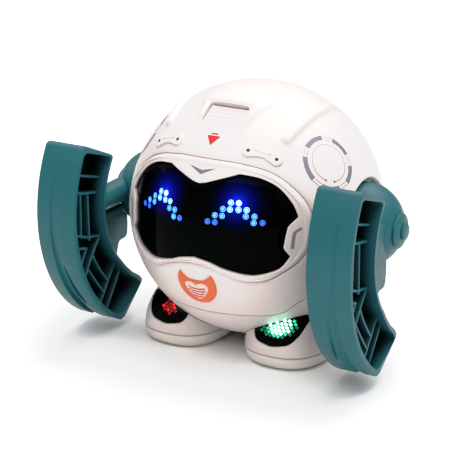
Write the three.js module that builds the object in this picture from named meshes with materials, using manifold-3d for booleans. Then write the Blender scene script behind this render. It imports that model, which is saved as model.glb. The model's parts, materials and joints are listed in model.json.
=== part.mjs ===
// Tumbling ball robot: a spherical body on two small feet, with a pair of arc-shaped arm wheels
// that turn together on one cross axle. Millimetres, +Z up. The robot looks along -Y, so +X is
// its left. The origin is on the floor, under the middle of the bounding box.

import * as THREE from 'three';
import { mergeVertices } from 'three/addons/utils/BufferGeometryUtils.js';
import Module from 'manifold-3d';

const wasm = await Module();
wasm.setup();

// ---------------------------------------------------------------- driving dimensions
const BALL_R = 65; // outer radius of the body
const AXLE_HEIGHT = 69; // ball centre and arm axle above the floor
const WALL = 2.4; // moulded wall of the body shells
const GAP = 0.3; // between pieces that touch
const FIT = 0.15; // radial clearance round a shaft

const ARC = {
  middle: 74.85, // |X| of the arm wheel's middle plane
  width: 22.5,
  outer: 71.9,
  inner: 43,
  top: 32, // end angles, measured up from straight ahead
  bottom: -76,
  slant: 0.27, // the lower end face leans by this many degrees for each millimetre of X
  band: 2.6,
  lip: 2.2,
  endWall: 2.4, // in degrees
  web: 2,
  ribDepth: 4.5, // how far the ribs stand back from the rim
  rib: 1.5,
};
const ARC_MIDDLE_BACK = (ARC.outer - BALL_R) / 2; // centres the bounding box on Y

const DOME = { centre: 57.4, radius: 22, reach: 23, wall: 2 };
const RECESS = { floor: 56.6, radius: 22.9 };
const AXLE_R = 2.5;
const AXLE_END = 81.1;

const SEAM = { low: -39.3, high: -28.2, turn: 36, rise: 48 }; // split line of helmet and base

const TRAIN = {
  final: { teeth: 38, module: 0.8 },
  second: { teeth: 34, pinion: 12, module: 0.6, angle: 264 },
  first: { teeth: 32, pinion: 12, module: 0.5, angle: 205 },
  motor: { teeth: 10, module: 0.5, angle: 150 },
  spread: 0.05, // added to each centre distance
};

const CELL = { radius: 7.15, length: 49.2, pitch: 15.2, y: 35.6 };
const BAY = { x: 25, z: 29.2, floor: 28, wall: 2 };
const DOOR = { x: 25.5, z: 29.5, corner: 5 };

const FOOT = { x: 29.5, y: -8.8 };

// ---------------------------------------------------------------- finishes
const WHITE = { color: 0xf1ebe7, roughness: 0.42, metalness: 0 };
const SMOKED = { color: 0x050708, roughness: 0.06, metalness: 0 };
const TEAL = { color: 0x3f7c80, roughness: 0.45, metalness: 0 };
const ORANGE = { color: 0xe0602a, roughness: 0.5, metalness: 0 };
const STEEL = { color: 0xb4b6b8, roughness: 0.3, metalness: 1 };
const NYLON = { color: 0xe8e4d8, roughness: 0.5, metalness: 0 };
const DARK = { color: 0x26282b, roughness: 0.6, metalness: 0 };
const BOARD = { color: 0x1f5a38, roughness: 0.5, metalness: 0 };
const RUBBER = { color: 0xdcd6d0, roughness: 0.8, metalness: 0 };
const CELL_WRAP = { color: 0x3a4756, roughness: 0.35, metalness: 0.2 };
const BLUE_LED = { color: 0x2a55ff, roughness: 0.2, metalness: 0 };
const RED_LED = { color: 0xd81c1c, roughness: 0.2, metalness: 0 };
const GREEN_LED = { color: 0x18c47a, roughness: 0.2, metalness: 0 };

// ---------------------------------------------------------------- geometry helpers
const radians = THREE.MathUtils.degToRad;

/** A closed geometry as a manifold solid, with its faces turned outwards. */
function solid(geometry) {
  const bare = geometry.clone();
  Object.keys(bare.attributes)
    .filter((name) => name !== 'position')
    .forEach((name) => bare.deleteAttribute(name));
  const welded = mergeVertices(bare, 1e-4);
  const points = welded.attributes.position;
  const triangles = [];
  let volume = 0;
  for (let i = 0; i < welded.index.count; i += 3) {
    const corner = [0, 1, 2].map((k) => welded.index.getX(i + k));
    if (new Set(corner).size < 3) continue;
    const [a, b, c] = corner.map((k) => new THREE.Vector3().fromBufferAttribute(points, k));
    volume += a.dot(b.cross(c));
    triangles.push(corner);
  }
  if (volume < 0) triangles.forEach((corner) => corner.reverse());
  return new wasm.Manifold(
    new wasm.Mesh({
      numProp: 3,
      vertProperties: Float32Array.from(points.array),
      triVerts: Uint32Array.from(triangles.flat()),
    }),
  );
}

const join = (...parts) => parts.reduce((sum, part) => sum.add(part));
const cut = (base, ...tools) => tools.reduce((rest, tool) => rest.subtract(tool), base);

/** A manifold solid as a three.js geometry, optionally mirrored in X. */
function toGeometry(body, mirrored = false) {
  const { vertProperties, triVerts } = body.getMesh();
  const positions = Float32Array.from(vertProperties);
  const index = Array.from(triVerts);
  if (mirrored) {
    for (let i = 0; i < positions.length; i += 3) positions[i] = -positions[i];
    index.reverse();
  }
  const geometry = new THREE.BufferGeometry();
  geometry.setAttribute('position', new THREE.BufferAttribute(positions, 3));
  geometry.setIndex(index);
  geometry.computeVertexNormals();
  return geometry;
}

function block([x0, x1], [y0, y1], [z0, z1]) {
  const box = new THREE.BoxGeometry(x1 - x0, y1 - y0, z1 - z0);
  return solid(box.translate((x0 + x1) / 2, (y0 + y1) / 2, (z0 + z1) / 2));
}

/** A round bar along X, Y or Z from `from` to `to`, centred on (u, v) of the other two axes. */
function bar(axis, radius, from, to, [u, v] = [0, 0], sides = 16) {
  const cylinder = new THREE.CylinderGeometry(radius, radius, to - from, sides);
  const middle = (from + to) / 2;
  if (axis === 'x') return solid(cylinder.rotateZ(Math.PI / 2).translate(middle, u, v));
  if (axis === 'z') return solid(cylinder.rotateX(Math.PI / 2).translate(u, v, middle));
  return solid(cylinder.translate(u, middle, v));
}

/** An outline pushed along an axis: (y, z) outlines along X, (x, z) along Y, (x, y) along Z. */
function slab(axis, outline, from, to) {
  const shape = outline instanceof THREE.Shape ? outline : new THREE.Shape(outline);
  const plate = new THREE.ExtrudeGeometry(shape, {
    depth: to - from,
    bevelEnabled: false,
    curveSegments: 4,
  });
  if (axis === 'x') {
    const turn = new THREE.Matrix4().makeBasis(
      new THREE.Vector3(0, 1, 0),
      new THREE.Vector3(0, 0, 1),
      new THREE.Vector3(1, 0, 0),
    );
    return solid(plate.applyMatrix4(turn).translate(from, 0, 0));
  }
  if (axis === 'y') return solid(plate.rotateX(Math.PI / 2).translate(0, to, 0));
  return solid(plate.translate(0, 0, from));
}

/** A body of revolution about X from [radius, x] points; the profile closes on itself. */
function turned(profile, sides = 20) {
  const points = profile.map(([radius, x]) => new THREE.Vector2(radius, x));
  if (profile[0][0] > 0) points.push(points[0].clone());
  return solid(new THREE.LatheGeometry(points, sides).rotateZ(-Math.PI / 2));
}

/** A ball at the origin with its poles on the axle. */
function ball(radius, sides = 32) {
  return solid(new THREE.SphereGeometry(radius, sides, sides / 2).rotateZ(Math.PI / 2));
}

const skin = (outer, inner) => cut(ball(outer), ball(inner));

/** A rounded rectangle centred on (x, y). */
function roundedRectangle(halfX, halfY, corner, x = 0, y = 0) {
  const shape = new THREE.Shape();
  [[1, 1, 0], [-1, 1, 1], [-1, -1, 2], [1, -1, 3]].forEach(([sx, sy, quarter]) => {
    const start = (quarter * Math.PI) / 2;
    shape.absarc(
      x + sx * (halfX - corner),
      y + sy * (halfY - corner),
      corner,
      start,
      start + Math.PI / 2,
    );
  });
  return shape;
}

/** A smooth run of points through the given knots. */
function smooth(knots, steps) {
  const curve = new THREE.SplineCurve(knots.map(([x, y]) => new THREE.Vector2(x, y)));
  return curve.getSpacedPoints(steps);
}

/** A half outline from top middle to bottom middle, closed by its mirror image in x. */
function mirrorClosed(half) {
  const back = half
    .slice(1, -1)
    .reverse()
    .map((point) => new THREE.Vector2(-point.x, point.y));
  return [...half, ...back];
}

/** An outline moved inwards by a small distance. */
function inset(points, distance) {
  const turn = Math.sign(THREE.ShapeUtils.area(points));
  return points.map((point, i) => {
    const before = points.at(i - 1);
    const after = points[(i + 1) % points.length];
    const along = after.clone().sub(before).normalize();
    const inwards = new THREE.Vector2(-along.y, along.x).multiplyScalar(turn * distance);
    return point.clone().add(inwards);
  });
}

/**
 * A closed skin through level rings that all have the same number of points. `cap` lists the
 * triangles of the end faces; without it they fan out from the first point.
 */
function loft(rings, cap) {
  const count = rings[0].length;
  const fan = Array.from({ length: count - 2 }, (_, i) => [0, i + 1, i + 2]);
  const positions = rings.flat().flatMap((point) => point.toArray());
  const index = [];
  for (let level = 0; level + 1 < rings.length; level += 1) {
    for (let i = 0; i < count; i += 1) {
      const a = level * count + i;
      const b = level * count + ((i + 1) % count);
      index.push(a, b, b + count, a, b + count, a + count);
    }
  }
  const top = (rings.length - 1) * count;
  (cap ?? fan).forEach(([a, b, c]) => index.push(a, c, b, top + a, top + b, top + c));
  const geometry = new THREE.BufferGeometry();
  geometry.setAttribute('position', new THREE.Float32BufferAttribute(positions, 3));
  geometry.setIndex(index);
  return solid(geometry);
}

// ---------------------------------------------------------------- scene graph helpers
const robot = new THREE.Group();
robot.name = 'tumbling_ball_robot';
robot.position.set(0, ARC_MIDDLE_BACK, AXLE_HEIGHT);

function piece(name, body, finish, mirrored = false) {
  const mesh = new THREE.Mesh(toGeometry(body, mirrored), new THREE.MeshStandardMaterial(finish));
  mesh.name = name;
  robot.add(mesh);
  return mesh;
}

/** The same piece on the robot's left (+X) and, mirrored, on its right. */
function pair(name, body, finish, rightFinish = finish) {
  piece(`${name}_left`, body, finish);
  piece(`${name}_right`, body, rightFinish, true);
}

// ---------------------------------------------------------------- body shells
const RIM = mirrorClosed(
  smooth(
    [
      [0, 39], [17, 38.2], [32, 34.4], [43, 26.2], [49.5, 16.8], [51.4, 6], [50, -2],
      [45.8, -8.5], [39.7, -13.5], [34.5, -16.7], [28.4, -17.9], [22, -17], [16.8, -14.8],
      [8, -11.7], [0, -10.6],
    ],
    24,
  ),
);

const VISOR = mirrorClosed([
  new THREE.Vector2(0, 28.2),
  new THREE.Vector2(3, 28.7),
  ...smooth([[18.6, 33.8], [28, 32.2], [36.2, 28], [42.5, 21], [45.6, 14.6]], 9),
  new THREE.Vector2(42.2, 10.4),
  new THREE.Vector2(41.1, 0),
  ...smooth(
    [[43.6, -4.2], [40.6, -9], [36.6, -12], [27.4, -14.2], [15.5, -11.8], [8, -9], [0, -7.4]],
    15,
  ),
]);

const FRONT = [-BALL_R - 5, -30];
const BACK = [30, BALL_R + 5];

/** Everything below the split line between the helmet and the base. */
function belowSeam(lift) {
  const half = [
    [0, SEAM.low], [SEAM.turn - 6, SEAM.low], [SEAM.turn, SEAM.low + 1.4],
    [SEAM.rise - 3, SEAM.high - 1.6], [SEAM.rise + 2, SEAM.high], [BALL_R + 5, SEAM.high],
    [BALL_R + 5, -BALL_R - 5], [0, -BALL_R - 5],
  ].map(([x, z]) => new THREE.Vector2(x, z > -BALL_R ? z + lift : z));
  return slab('y', mirrorClosed(half), -BALL_R - 5, BALL_R + 5);
}

/** The round recess that the shoulder dome turns in, one on each side. */
function hubRecess(depth, radius) {
  const right = bar('x', radius, depth, BALL_R + 5, [0, 0], 24);
  const left = bar('x', radius, -BALL_R - 5, -depth, [0, 0], 24);
  return join(right, left);
}

const VENT_TILT = radians(30);

/** A block square to the surface of the crown where the vent is. */
function ventBlock(halfX, [v0, v1], [r0, r1]) {
  const box = new THREE.BoxGeometry(2 * halfX, v1 - v0, r1 - r0);
  box.translate(0, (v0 + v1) / 2, (r0 + r1) / 2);
  return solid(box.rotateX(VENT_TILT));
}

function ridge(side) {
  const path = new THREE.CatmullRomCurve3(
    [[32.3, -31, 47], [34.5, -16, 52.8], [35, 0, 54.4], [34.6, 13, 53.4], [40, 23, 45.5]].map(
      ([x, y, z]) => new THREE.Vector3(side * x, y, z).setLength(BALL_R - 0.4),
    ),
  );
  const section = new THREE.Shape().absarc(0, 0, 2.1, 0, 2 * Math.PI);
  return solid(
    new THREE.ExtrudeGeometry(section, { steps: 8, extrudePath: path, curveSegments: 4 }),
  );
}

function hollowBall() {
  const outside = cut(ball(BALL_R), hubRecess(RECESS.floor, RECESS.radius));
  const inside = cut(
    ball(BALL_R - WALL, 20),
    hubRecess(RECESS.floor - WALL, RECESS.radius + WALL),
  );
  return cut(outside, inside);
}

const LUG = { x: 30, y: 38, radius: 3.6 };

function helmetShell() {
  const pad = ventBlock(15, [-9, 14], [0, BALL_R + 5]).intersect(ball(BALL_R + 1.3));
  const shaped = join(
    hollowBall(),
    cut(pad, ball(BALL_R - 1)),
    cut(join(ridge(1), ridge(-1)), ball(BALL_R - 1.5)),
  );
  const lugs = [-1, 1].map((side) =>
    bar('z', LUG.radius, SEAM.low + 0.1, SEAM.low + 6, [side * LUG.x, LUG.y], 16),
  );
  const rims = cut(
    join(shaped, ...lugs),
    slab('y', RIM, ...FRONT),
    slab('y', roundedRectangle(DOOR.x, DOOR.z, DOOR.corner), ...BACK),
    bar('x', 8.3, -BALL_R, BALL_R),
    ventBlock(11, [-6.2, 6.2], [50, BALL_R + 5]),
    belowSeam(0),
  );
  const pilots = [-1, 1].map((side) =>
    bar('z', 1.3, SEAM.low - 1, SEAM.low + 5, [side * LUG.x, LUG.y], 8),
  );
  return cut(rims, ...pilots);
}

const SWITCH_TILT = -radians(146.3); // the switch faces down and back

/** A block square to the surface of the base where the power switch is. */
function switchBlock([x0, x1], halfV, [r0, r1]) {
  const box = new THREE.BoxGeometry(x1 - x0, 2 * halfV, r1 - r0);
  box.translate((x0 + x1) / 2, 0, (r0 + r1) / 2);
  return solid(box.rotateX(SWITCH_TILT));
}

const TOWERS = [[-12.25, -22], [12.25, -22], [-12.25, -3], [12.25, -3]];
const GRILLE_HOLES = [0, 1, 2, 3].map((k) => [
  4.6 * Math.cos((k * Math.PI) / 2),
  4.6 * Math.sin((k * Math.PI) / 2) + 4.5,
]);

function basePan() {
  const towers = TOWERS.map((place) => bar('z', 2.8, -61, -38.6, place, 8));
  const bosses = [-1, 1].map((side) =>
    bar('z', 4.4, -46, SEAM.low - GAP, [side * LUG.x, LUG.y], 16),
  );
  const whole = join(hollowBall(), ...towers, ...bosses).intersect(ball(BALL_R));
  const sunk = [-1, 1].flatMap((side) => [
    bar('z', 3, -60, -42.4, [side * LUG.x, LUG.y], 16),
    bar('z', 1.7, -60, -38, [side * LUG.x, LUG.y], 8),
    bar('z', 1.8, -70, -50, [side * FOOT.x, FOOT.y + 8], 8),
  ]);
  return cut(
    whole.intersect(belowSeam(-GAP)),
    ...sunk,
    ...[[0, 4.5], ...GRILLE_HOLES].map((place) => bar('z', 1.1, -70, -60, place, 6)),
    switchBlock([-2.4, 4.4], 2.1, [50, BALL_R + 2]),
  );
}

const faceBezel = cut(
  skin(BALL_R + 0.7, BALL_R - WALL).intersect(slab('y', inset(RIM, GAP), ...FRONT)),
  slab('y', VISOR, ...FRONT),
);
const visor = skin(BALL_R - 0.9, BALL_R - 3.2).intersect(slab('y', inset(VISOR, GAP), ...FRONT));

// ---------------------------------------------------------------- face and crown details
/** The light mask of one eye: a curved plate with a lamp window and one port on each slope. */
function eyeMask() {
  const outline = roundedRectangle(15.3, 8.7, 3, 19.6, 16.4);
  const plate = skin(BALL_R - 3.5, BALL_R - 4.7).intersect(slab('y', outline, ...FRONT));
  const ports = [[10, 14], [14, 16.8], [26, 16.8], [30, 14]].map((place) =>
    bar('y', 1, -70, -40, place, 6),
  );
  return cut(plate, ...ports, bar('y', 2.2, -70, -40, [20, 21], 8));
}

function brow() {
  const length = 14.2;
  const outline = new THREE.Shape();
  outline.absarc(length / 2, 0, 3.1, -2.2, 2.2);
  outline.quadraticCurveTo(0, 1.5, -length / 2 - 3.1 * Math.cos(2.2), 3.1 * Math.sin(2.2));
  outline.absarc(-length / 2, 0, 3.1, Math.PI - 2.2, Math.PI + 2.2);
  outline.quadraticCurveTo(0, -1.5, length / 2 + 3.1 * Math.cos(2.2), -3.1 * Math.sin(2.2));
  const out = new THREE.Vector3(25.5, -42.6, 41.5).normalize();
  const along = new THREE.Vector3(13, 4.2, -3.7).projectOnPlane(out).normalize();
  const across = out.clone().cross(along);
  const place = new THREE.Matrix4().makeBasis(along, across, out);
  const oriented = (geometry) => solid(geometry.applyMatrix4(place));
  const plate = new THREE.ExtrudeGeometry(outline, {
    depth: 80,
    bevelEnabled: false,
    curveSegments: 3,
  });
  const holes = [-1, 1].map((end) => {
    const pin = new THREE.CylinderGeometry(0.9, 0.9, 80, 8).rotateX(Math.PI / 2);
    return oriented(pin.translate((end * length) / 2, 0, 40));
  });
  return cut(skin(BALL_R + 1.2, BALL_R + GAP).intersect(oriented(plate)), ...holes);
}

function ventGrille() {
  const frame = ventBlock(11 - GAP, [-5.9, 5.9], [61.4, 64.3]);
  const slots = [-3.9, -1.3, 1.3, 3.9].map((v) =>
    ventBlock(9.6, [v - 0.65, v + 0.65], [60, 66]),
  );
  return cut(frame, ...slots);
}

const MOUTH = mirrorClosed(
  [
    [0, -20], [3.4, -19.8], [6.3, -18.4], [8.6, -15.9], [9.9, -18.6], [10.3, -22], [9.7, -26],
    [7.6, -29.6], [4.4, -32.2], [0, -33.2],
  ].map(([x, z]) => new THREE.Vector2(x, z)),
);
const mouthBadge = skin(BALL_R + 0.8, BALL_R + GAP).intersect(slab('y', MOUTH, ...FRONT));

/** The eye light board stands upright behind the visor. */
const eyeBoard = block([-25.5, 25.5], [-47.6, -46], [7, 24]);
const eyeLed = join(
  bar('y', 2.1, -51.3, -49.1, [20, 21], 10),
  bar('y', 2.5, -49.1, -48, [20, 21], 10),
);

// ---------------------------------------------------------------- feet
const FOOT_LEVELS = {
  // height above the floor, half width, half length
  sole: [[0, 18.6, 27.5], [0.7, 20, 29.6], [2.6, 21.7, 32], [5, 22.4, 33], [7.4, 22.6, 33.3]],
  shoe: [[7.7, 22.6, 33.2], [12, 22.2, 33], [17, 20.8, 31.6], [22, 18.8, 28.6], [29, 14.5, 22]],
};

function footRings(levels, shrink = 0) {
  const sides = 20;
  const power = 2.6;
  return levels.map(([height, halfX, halfY]) =>
    Array.from({ length: sides }, (_, i) => {
      const angle = (i / sides) * 2 * Math.PI;
      const bend = (value) => Math.sign(value) * Math.abs(value) ** (2 / power);
      return new THREE.Vector3(
        FOOT.x + (halfX - shrink) * bend(Math.cos(angle)),
        FOOT.y + (halfY - shrink) * bend(Math.sin(angle)),
        height - AXLE_HEIGHT,
      );
    }),
  );
}

const LENS = [
  [19.2, -40], [19, -51.4], [21.4, -54.6], [30, -56.4], [39.4, -54.6], [43.4, -50], [45.5, -38],
].map(([x, z]) => new THREE.Vector2(x, z));
const LENS_RANGE = [-60, -12];
const SHOE_WALL = 2;
const ballSeat = ball(BALL_R + GAP);
const shoeSolid = cut(loft(footRings(FOOT_LEVELS.shoe)), ballSeat);
const shoeCore = loft(footRings(FOOT_LEVELS.shoe, SHOE_WALL));

/** The shoe is hollow in front, behind its lamp window, and closed below by the sole. */
function footShell() {
  const chamber = shoeCore.intersect(block([0, 60], [-60, -16], [-62, -20]));
  const screwHole = bar('z', 1.3, -62, -50, [FOOT.x, FOOT.y + 8], 8);
  return cut(shoeSolid, chamber, slab('y', LENS, ...LENS_RANGE), screwHole);
}

const footLens = cut(shoeSolid, shoeCore)
  .intersect(slab('y', inset(LENS, GAP), ...LENS_RANGE))
  .intersect(block([0, 60], [-60, -22], [-62, -20]));
const footSole = cut(loft(footRings(FOOT_LEVELS.sole)), ballSeat);
const footBoard = block([21, 39], [-35.4, -34], [-60, -52.4]);
const footLed = join(
  bar('y', 2.4, -38.2, -36.2, [28, -55.6], 10),
  bar('y', 2.8, -36.2, -35.7, [28, -55.6], 10),
);
const footScrew = join(
  bar('z', 1, -61, -52, [FOOT.x, FOOT.y + 8], 8),
  bar('z', 2.6, -52.4, -50.6, [FOOT.x, FOOT.y + 8], 10),
);
const baseScrew = join(
  bar('z', 1, -43, -35, [LUG.x, LUG.y], 8),
  bar('z', 2.6, -44, -42.7, [LUG.x, LUG.y], 10),
);

// ---------------------------------------------------------------- arm wheels
const polar = (radius, degrees) =>
  new THREE.Vector2(-radius * Math.cos(radians(degrees)), radius * Math.sin(radians(degrees)));

function arcPoints(radius, from, to, steps) {
  return Array.from({ length: steps + 1 }, (_, i) => polar(radius, from + ((to - from) * i) / steps));
}

/**
 * Outline of the arc in (y, z) at one X, drawn in by `band` on the tread, `lip` on the hollow side
 * and `end` degrees at both ends.
 */
function arcOutline(x, band = 0, lip = 0, end = 0) {
  const top = ARC.top - end;
  const bottom = ARC.bottom + ARC.slant * (x - ARC.middle) + end;
  const outer = ARC.outer - band;
  const inner = ARC.inner + lip;
  return [
    polar(outer - 1.6, top + 0.4),
    ...arcPoints(outer, top - 1.2, bottom + 14.6, 16),
    polar(outer - 1.8, bottom + 12.4),
    polar(inner + 8.7, bottom + 0.8),
    polar(inner + 6.6, bottom + 0.3),
    polar(inner + 4.4, bottom + 4.1),
    polar(inner + 2.9, bottom + 12.6),
    ...arcPoints(inner, bottom + 34, top - 3, 10),
    polar(inner + 0.5, top + 3.2),
    polar(inner + 2.4, top + 4),
  ];
}

/** A slab of the arc between two X positions. */
function arcSlab(from, to, ...margins) {
  const outlines = [from, to].map((x) => arcOutline(x, ...margins));
  const rings = outlines.map((outline, end) =>
    outline.map((point) => new THREE.Vector3(end ? to : from, point.x, point.y)),
  );
  return loft(rings, THREE.ShapeUtils.triangulateShape(outlines[0], []));
}

const RIBS = [
  // lines between [radius, angle] points on the web, as walls of the ribbed sides
  [[44, 21.4], [58, 20.3], [70, 20.2]],
  [[44, 11.4], [58, 11.6], [70, 12.9]],
  [[59.9, 12], [60, -11]],
  [[53.5, 12], [53.7, -16]],
  [[44.2, -19.6], [56, -12.6], [70, -4.6]],
  [[45.4, -19.8], [56.5, -26], [70, -32]],
  [[70, -12], [57.4, -18.5]],
  [[57.4, -18.3], [70, -26]],
  [[54.8, -24.5], [54.4, -36], [55.4, -50]],
  [[61.5, -28], [60.8, -38], [61.9, -50]],
  [[44.4, -49], [70, -50]],
  [[45, -58.2], [70, -56.4]],
];

function ribWall(knots, thickness) {
  const line = knots.map(([radius, angle]) => polar(radius, angle));
  const side = line.map((point, i) => {
    const along = line[Math.min(i + 1, line.length - 1)].clone().sub(line[Math.max(i - 1, 0)]);
    return new THREE.Vector2(-along.y, along.x).setLength(thickness / 2);
  });
  const outline = [
    ...line.map((point, i) => point.clone().add(side[i])),
    ...line.map((point, i) => point.clone().sub(side[i])).reverse(),
  ];
  const halfWidth = ARC.width / 2 - ARC.ribDepth;
  return slab('x', outline, ARC.middle - halfWidth, ARC.middle + halfWidth);
}

/** The spoke: a paddle-shaped plate, with a round boss and a stiffener on its inner side. */
function spoke() {
  const paddle = [
    [-9, 7], [-8.2, -12], [-8, -20], [-8.6, -25], [-10.4, -26.8], [-16.4, -26.9], [-17.6, -29],
    [-19.6, -35], [-46, -33], [-46, 7],
  ].map(([y, z]) => new THREE.Vector2(y, z));
  return join(
    slab('x', paddle, ARC.middle - 1.6, ARC.middle + 1.6),
    bar('y', 6, -46.5, -10, [ARC.middle - 4.4, 2.6], 24),
    block([ARC.middle - 5.5, ARC.middle + 1.2], [-45.5, -13.2], [-8.4, -5.6]),
  );
}

function armWheel() {
  const low = ARC.middle - ARC.width / 2;
  const high = ARC.middle + ARC.width / 2;
  const whole = arcSlab(low, high);
  const margins = [ARC.band, ARC.lip, ARC.endWall];
  const pockets = join(
    arcSlab(low - 1, ARC.middle - ARC.web / 2, ...margins),
    arcSlab(ARC.middle + ARC.web / 2, high + 1, ...margins),
  );
  const ribs = RIBS.map((knots) => ribWall(knots, ARC.rib).intersect(whole));
  const groove = slab(
    'x',
    [...arcPoints(ARC.outer + 2, 18, -60, 15), ...arcPoints(ARC.outer - 0.9, -60, 18, 15)],
    ARC.middle - 2.7,
    ARC.middle + 2.7,
  );
  const rims = cut(whole, pockets, groove);
  const hollowSide = slab('x', arcPoints(ARC.inner + 1, -70, 30, 14).concat(polar(0, 0)), 0, 90);
  const inside = spoke().intersect(hollowSide);
  return cut(join(rims, ...ribs, inside), domeSeat());
}

/** The hollow in the spoke that the dome sits in. */
function domeSeat() {
  const seat = toGeometry(ball(1, 24))
    .scale(DOME.reach + 2 * GAP, DOME.radius + 2 * GAP, DOME.radius + 2 * GAP)
    .translate(DOME.centre, 0, 0);
  return solid(seat);
}

/** Points of a quarter ellipse about (0, centre) as [radius, x], from the apex to the base. */
function domeArc(wall, steps, apexRadius) {
  const radius = DOME.radius - wall;
  const start = Math.asin(apexRadius / radius);
  return Array.from({ length: steps + 1 }, (_, i) => {
    const angle = start + ((Math.PI / 2 - start) * i) / steps;
    return [radius * Math.sin(angle), DOME.centre + (DOME.reach - wall) * Math.cos(angle)];
  });
}

const hubDome = turned([
  ...domeArc(0, 7, AXLE_R + FIT),
  ...domeArc(DOME.wall, 4, 5.5).reverse(),
  [5.5, DOME.centre + 0.8],
  [AXLE_R + FIT, DOME.centre + 0.8],
]);

const hubFlange = turned(
  [
    [AXLE_R + FIT, 80.6], [AXLE_R + FIT, 81.3], [5.4, 81.3], [8.2, 80.2], [8.8, 79.6], [8.8, 78.85],
    [5.5, 80.05],
  ],
  20,
);
const hubCap = turned(
  [[0, 81.6], [4.3, 81.6], [4.3, 82], [3.7, 82.6], [2.4, 82.9], [0, 83]],
  16,
);

const axle = bar('x', AXLE_R, -AXLE_END, AXLE_END, [0, 0], 20);
const axleBush = turned(
  [
    [AXLE_R + FIT, 53], [10.4, 53], [10.4, 53.8], [7.9, 53.8], [7.9, 56.9], [AXLE_R + FIT, 56.9],
  ],
  16,
);

// ---------------------------------------------------------------- drive train
/** Half the angle that a gear tooth spans at a radius, from the involute of its base circle. */
function toothHalfAngle(teeth, module, radius) {
  const pressure = radians(20);
  const involute = (angle) => Math.tan(angle) - angle;
  const base = ((teeth * module) / 2) * Math.cos(pressure);
  const here = radius > base ? Math.acos(base / radius) : 0;
  const backlash = 0.12 * module;
  return Math.PI / (2 * teeth) + involute(pressure) - involute(here) - backlash / radius;
}

function gearOutline(teeth, module, phase) {
  const pitch = (teeth * module) / 2;
  const radii = [pitch - 1.2 * module, pitch, pitch + 0.9 * module];
  const flank = (teeth < 20 ? radii : [radii[0], radii[2]]).map((radius) => [
    radius,
    toothHalfAngle(teeth, module, radius),
  ]);
  const points = [];
  for (let k = 0; k < teeth; k += 1) {
    const middle = phase + (k * 2 * Math.PI) / teeth;
    flank.forEach(([r, half]) => points.push([r, middle - half]));
    [...flank].reverse().forEach(([r, half]) => points.push([r, middle + half]));
  }
  return points.map(([r, a]) => new THREE.Vector2(r * Math.cos(a), r * Math.sin(a)));
}

/** The phase that puts the next gear's tooth gap where this gear's tooth is. */
function meshPhase(direction, phase, teeth, nextTeeth) {
  return direction + Math.PI + Math.PI / nextTeeth + ((direction - phase) * teeth) / nextTeeth;
}

function gear(teeth, module, phase, [y, z], from, to) {
  const outline = gearOutline(teeth, module, phase).map((p) => p.add(new THREE.Vector2(y, z)));
  return slab('x', outline, from, to);
}

/** Where the next axis lies, from the centre distance and the direction. */
function nextAxis([y, z], distance, degrees) {
  const angle = radians(degrees);
  return [y + distance * Math.cos(angle), z + distance * Math.sin(angle)];
}

const centres = {};
centres.final = [0, 0];
centres.second = nextAxis(
  centres.final,
  ((TRAIN.final.teeth + TRAIN.second.pinion) * TRAIN.final.module) / 2 + TRAIN.spread,
  TRAIN.second.angle,
);
centres.first = nextAxis(
  centres.second,
  ((TRAIN.second.teeth + TRAIN.first.pinion) * TRAIN.second.module) / 2 + TRAIN.spread,
  TRAIN.first.angle,
);
centres.motor = nextAxis(
  centres.first,
  ((TRAIN.first.teeth + TRAIN.motor.teeth) * TRAIN.first.module) / 2 + TRAIN.spread,
  TRAIN.motor.angle,
);

const PIN_R = 1;
const bore = (place, radius) => bar('x', radius + FIT, -20, 20, place, 10);

const finalGear = cut(
  join(
    gear(TRAIN.final.teeth, TRAIN.final.module, 0, centres.final, -9.5, -5.5),
    bar('x', 5, -10.5, -4.6, centres.final, 20),
  ),
  bore(centres.final, AXLE_R),
);

function secondGear() {
  const phase = meshPhase(
    radians(TRAIN.second.angle), 0, TRAIN.final.teeth, TRAIN.second.pinion,
  );
  const small = gear(TRAIN.second.pinion, TRAIN.final.module, phase, centres.second, -10, -4.4);
  const large = gear(TRAIN.second.teeth, TRAIN.second.module, 0, centres.second, -4.6, -1.8);
  return cut(join(small, large), bore(centres.second, PIN_R));
}

function firstGear() {
  const phase = meshPhase(
    radians(TRAIN.first.angle), 0, TRAIN.second.teeth, TRAIN.first.pinion,
  );
  const small = gear(TRAIN.first.pinion, TRAIN.second.module, phase, centres.first, -5, -0.8);
  const large = gear(TRAIN.first.teeth, TRAIN.first.module, 0, centres.first, -1, 1.6);
  return cut(join(small, large), bore(centres.first, PIN_R));
}

function motorPinion() {
  const phase = meshPhase(
    radians(TRAIN.motor.angle), 0, TRAIN.first.teeth, TRAIN.motor.teeth,
  );
  const teeth = gear(TRAIN.motor.teeth, TRAIN.first.module, phase, centres.motor, -1.4, 2.2);
  return join(teeth, bar('x', PIN_R, -1, 19, centres.motor, 8));
}

const PLATE = { inner: 11.5, thickness: 1.6 };
const POSTS = [[8.5, -35], [-29, -36], [-27, 7]];

function gearboxPlate(side) {
  const outline = roundedRectangle(21.5, 23.6, 5, -11.8, -14.6);
  const low = side > 0 ? PLATE.inner : -PLATE.inner - PLATE.thickness;
  const plate = slab('x', outline, low, low + PLATE.thickness);
  const holes = [
    bore(centres.final, AXLE_R + 0.4),
    bore(centres.second, PIN_R),
    bore(centres.first, PIN_R),
    ...(side > 0 ? [bore(centres.motor, 3.4)] : []),
  ];
  const posts = POSTS.map((place) => bar('x', 2.2, GAP - PLATE.inner, PLATE.inner + 1, place, 8));
  return cut(side > 0 ? join(plate, ...posts) : plate, ...holes);
}

const gearPin = (place) => bar('x', PIN_R, -PLATE.inner - PLATE.thickness, PLATE.inner + PLATE.thickness, place, 8);

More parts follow.
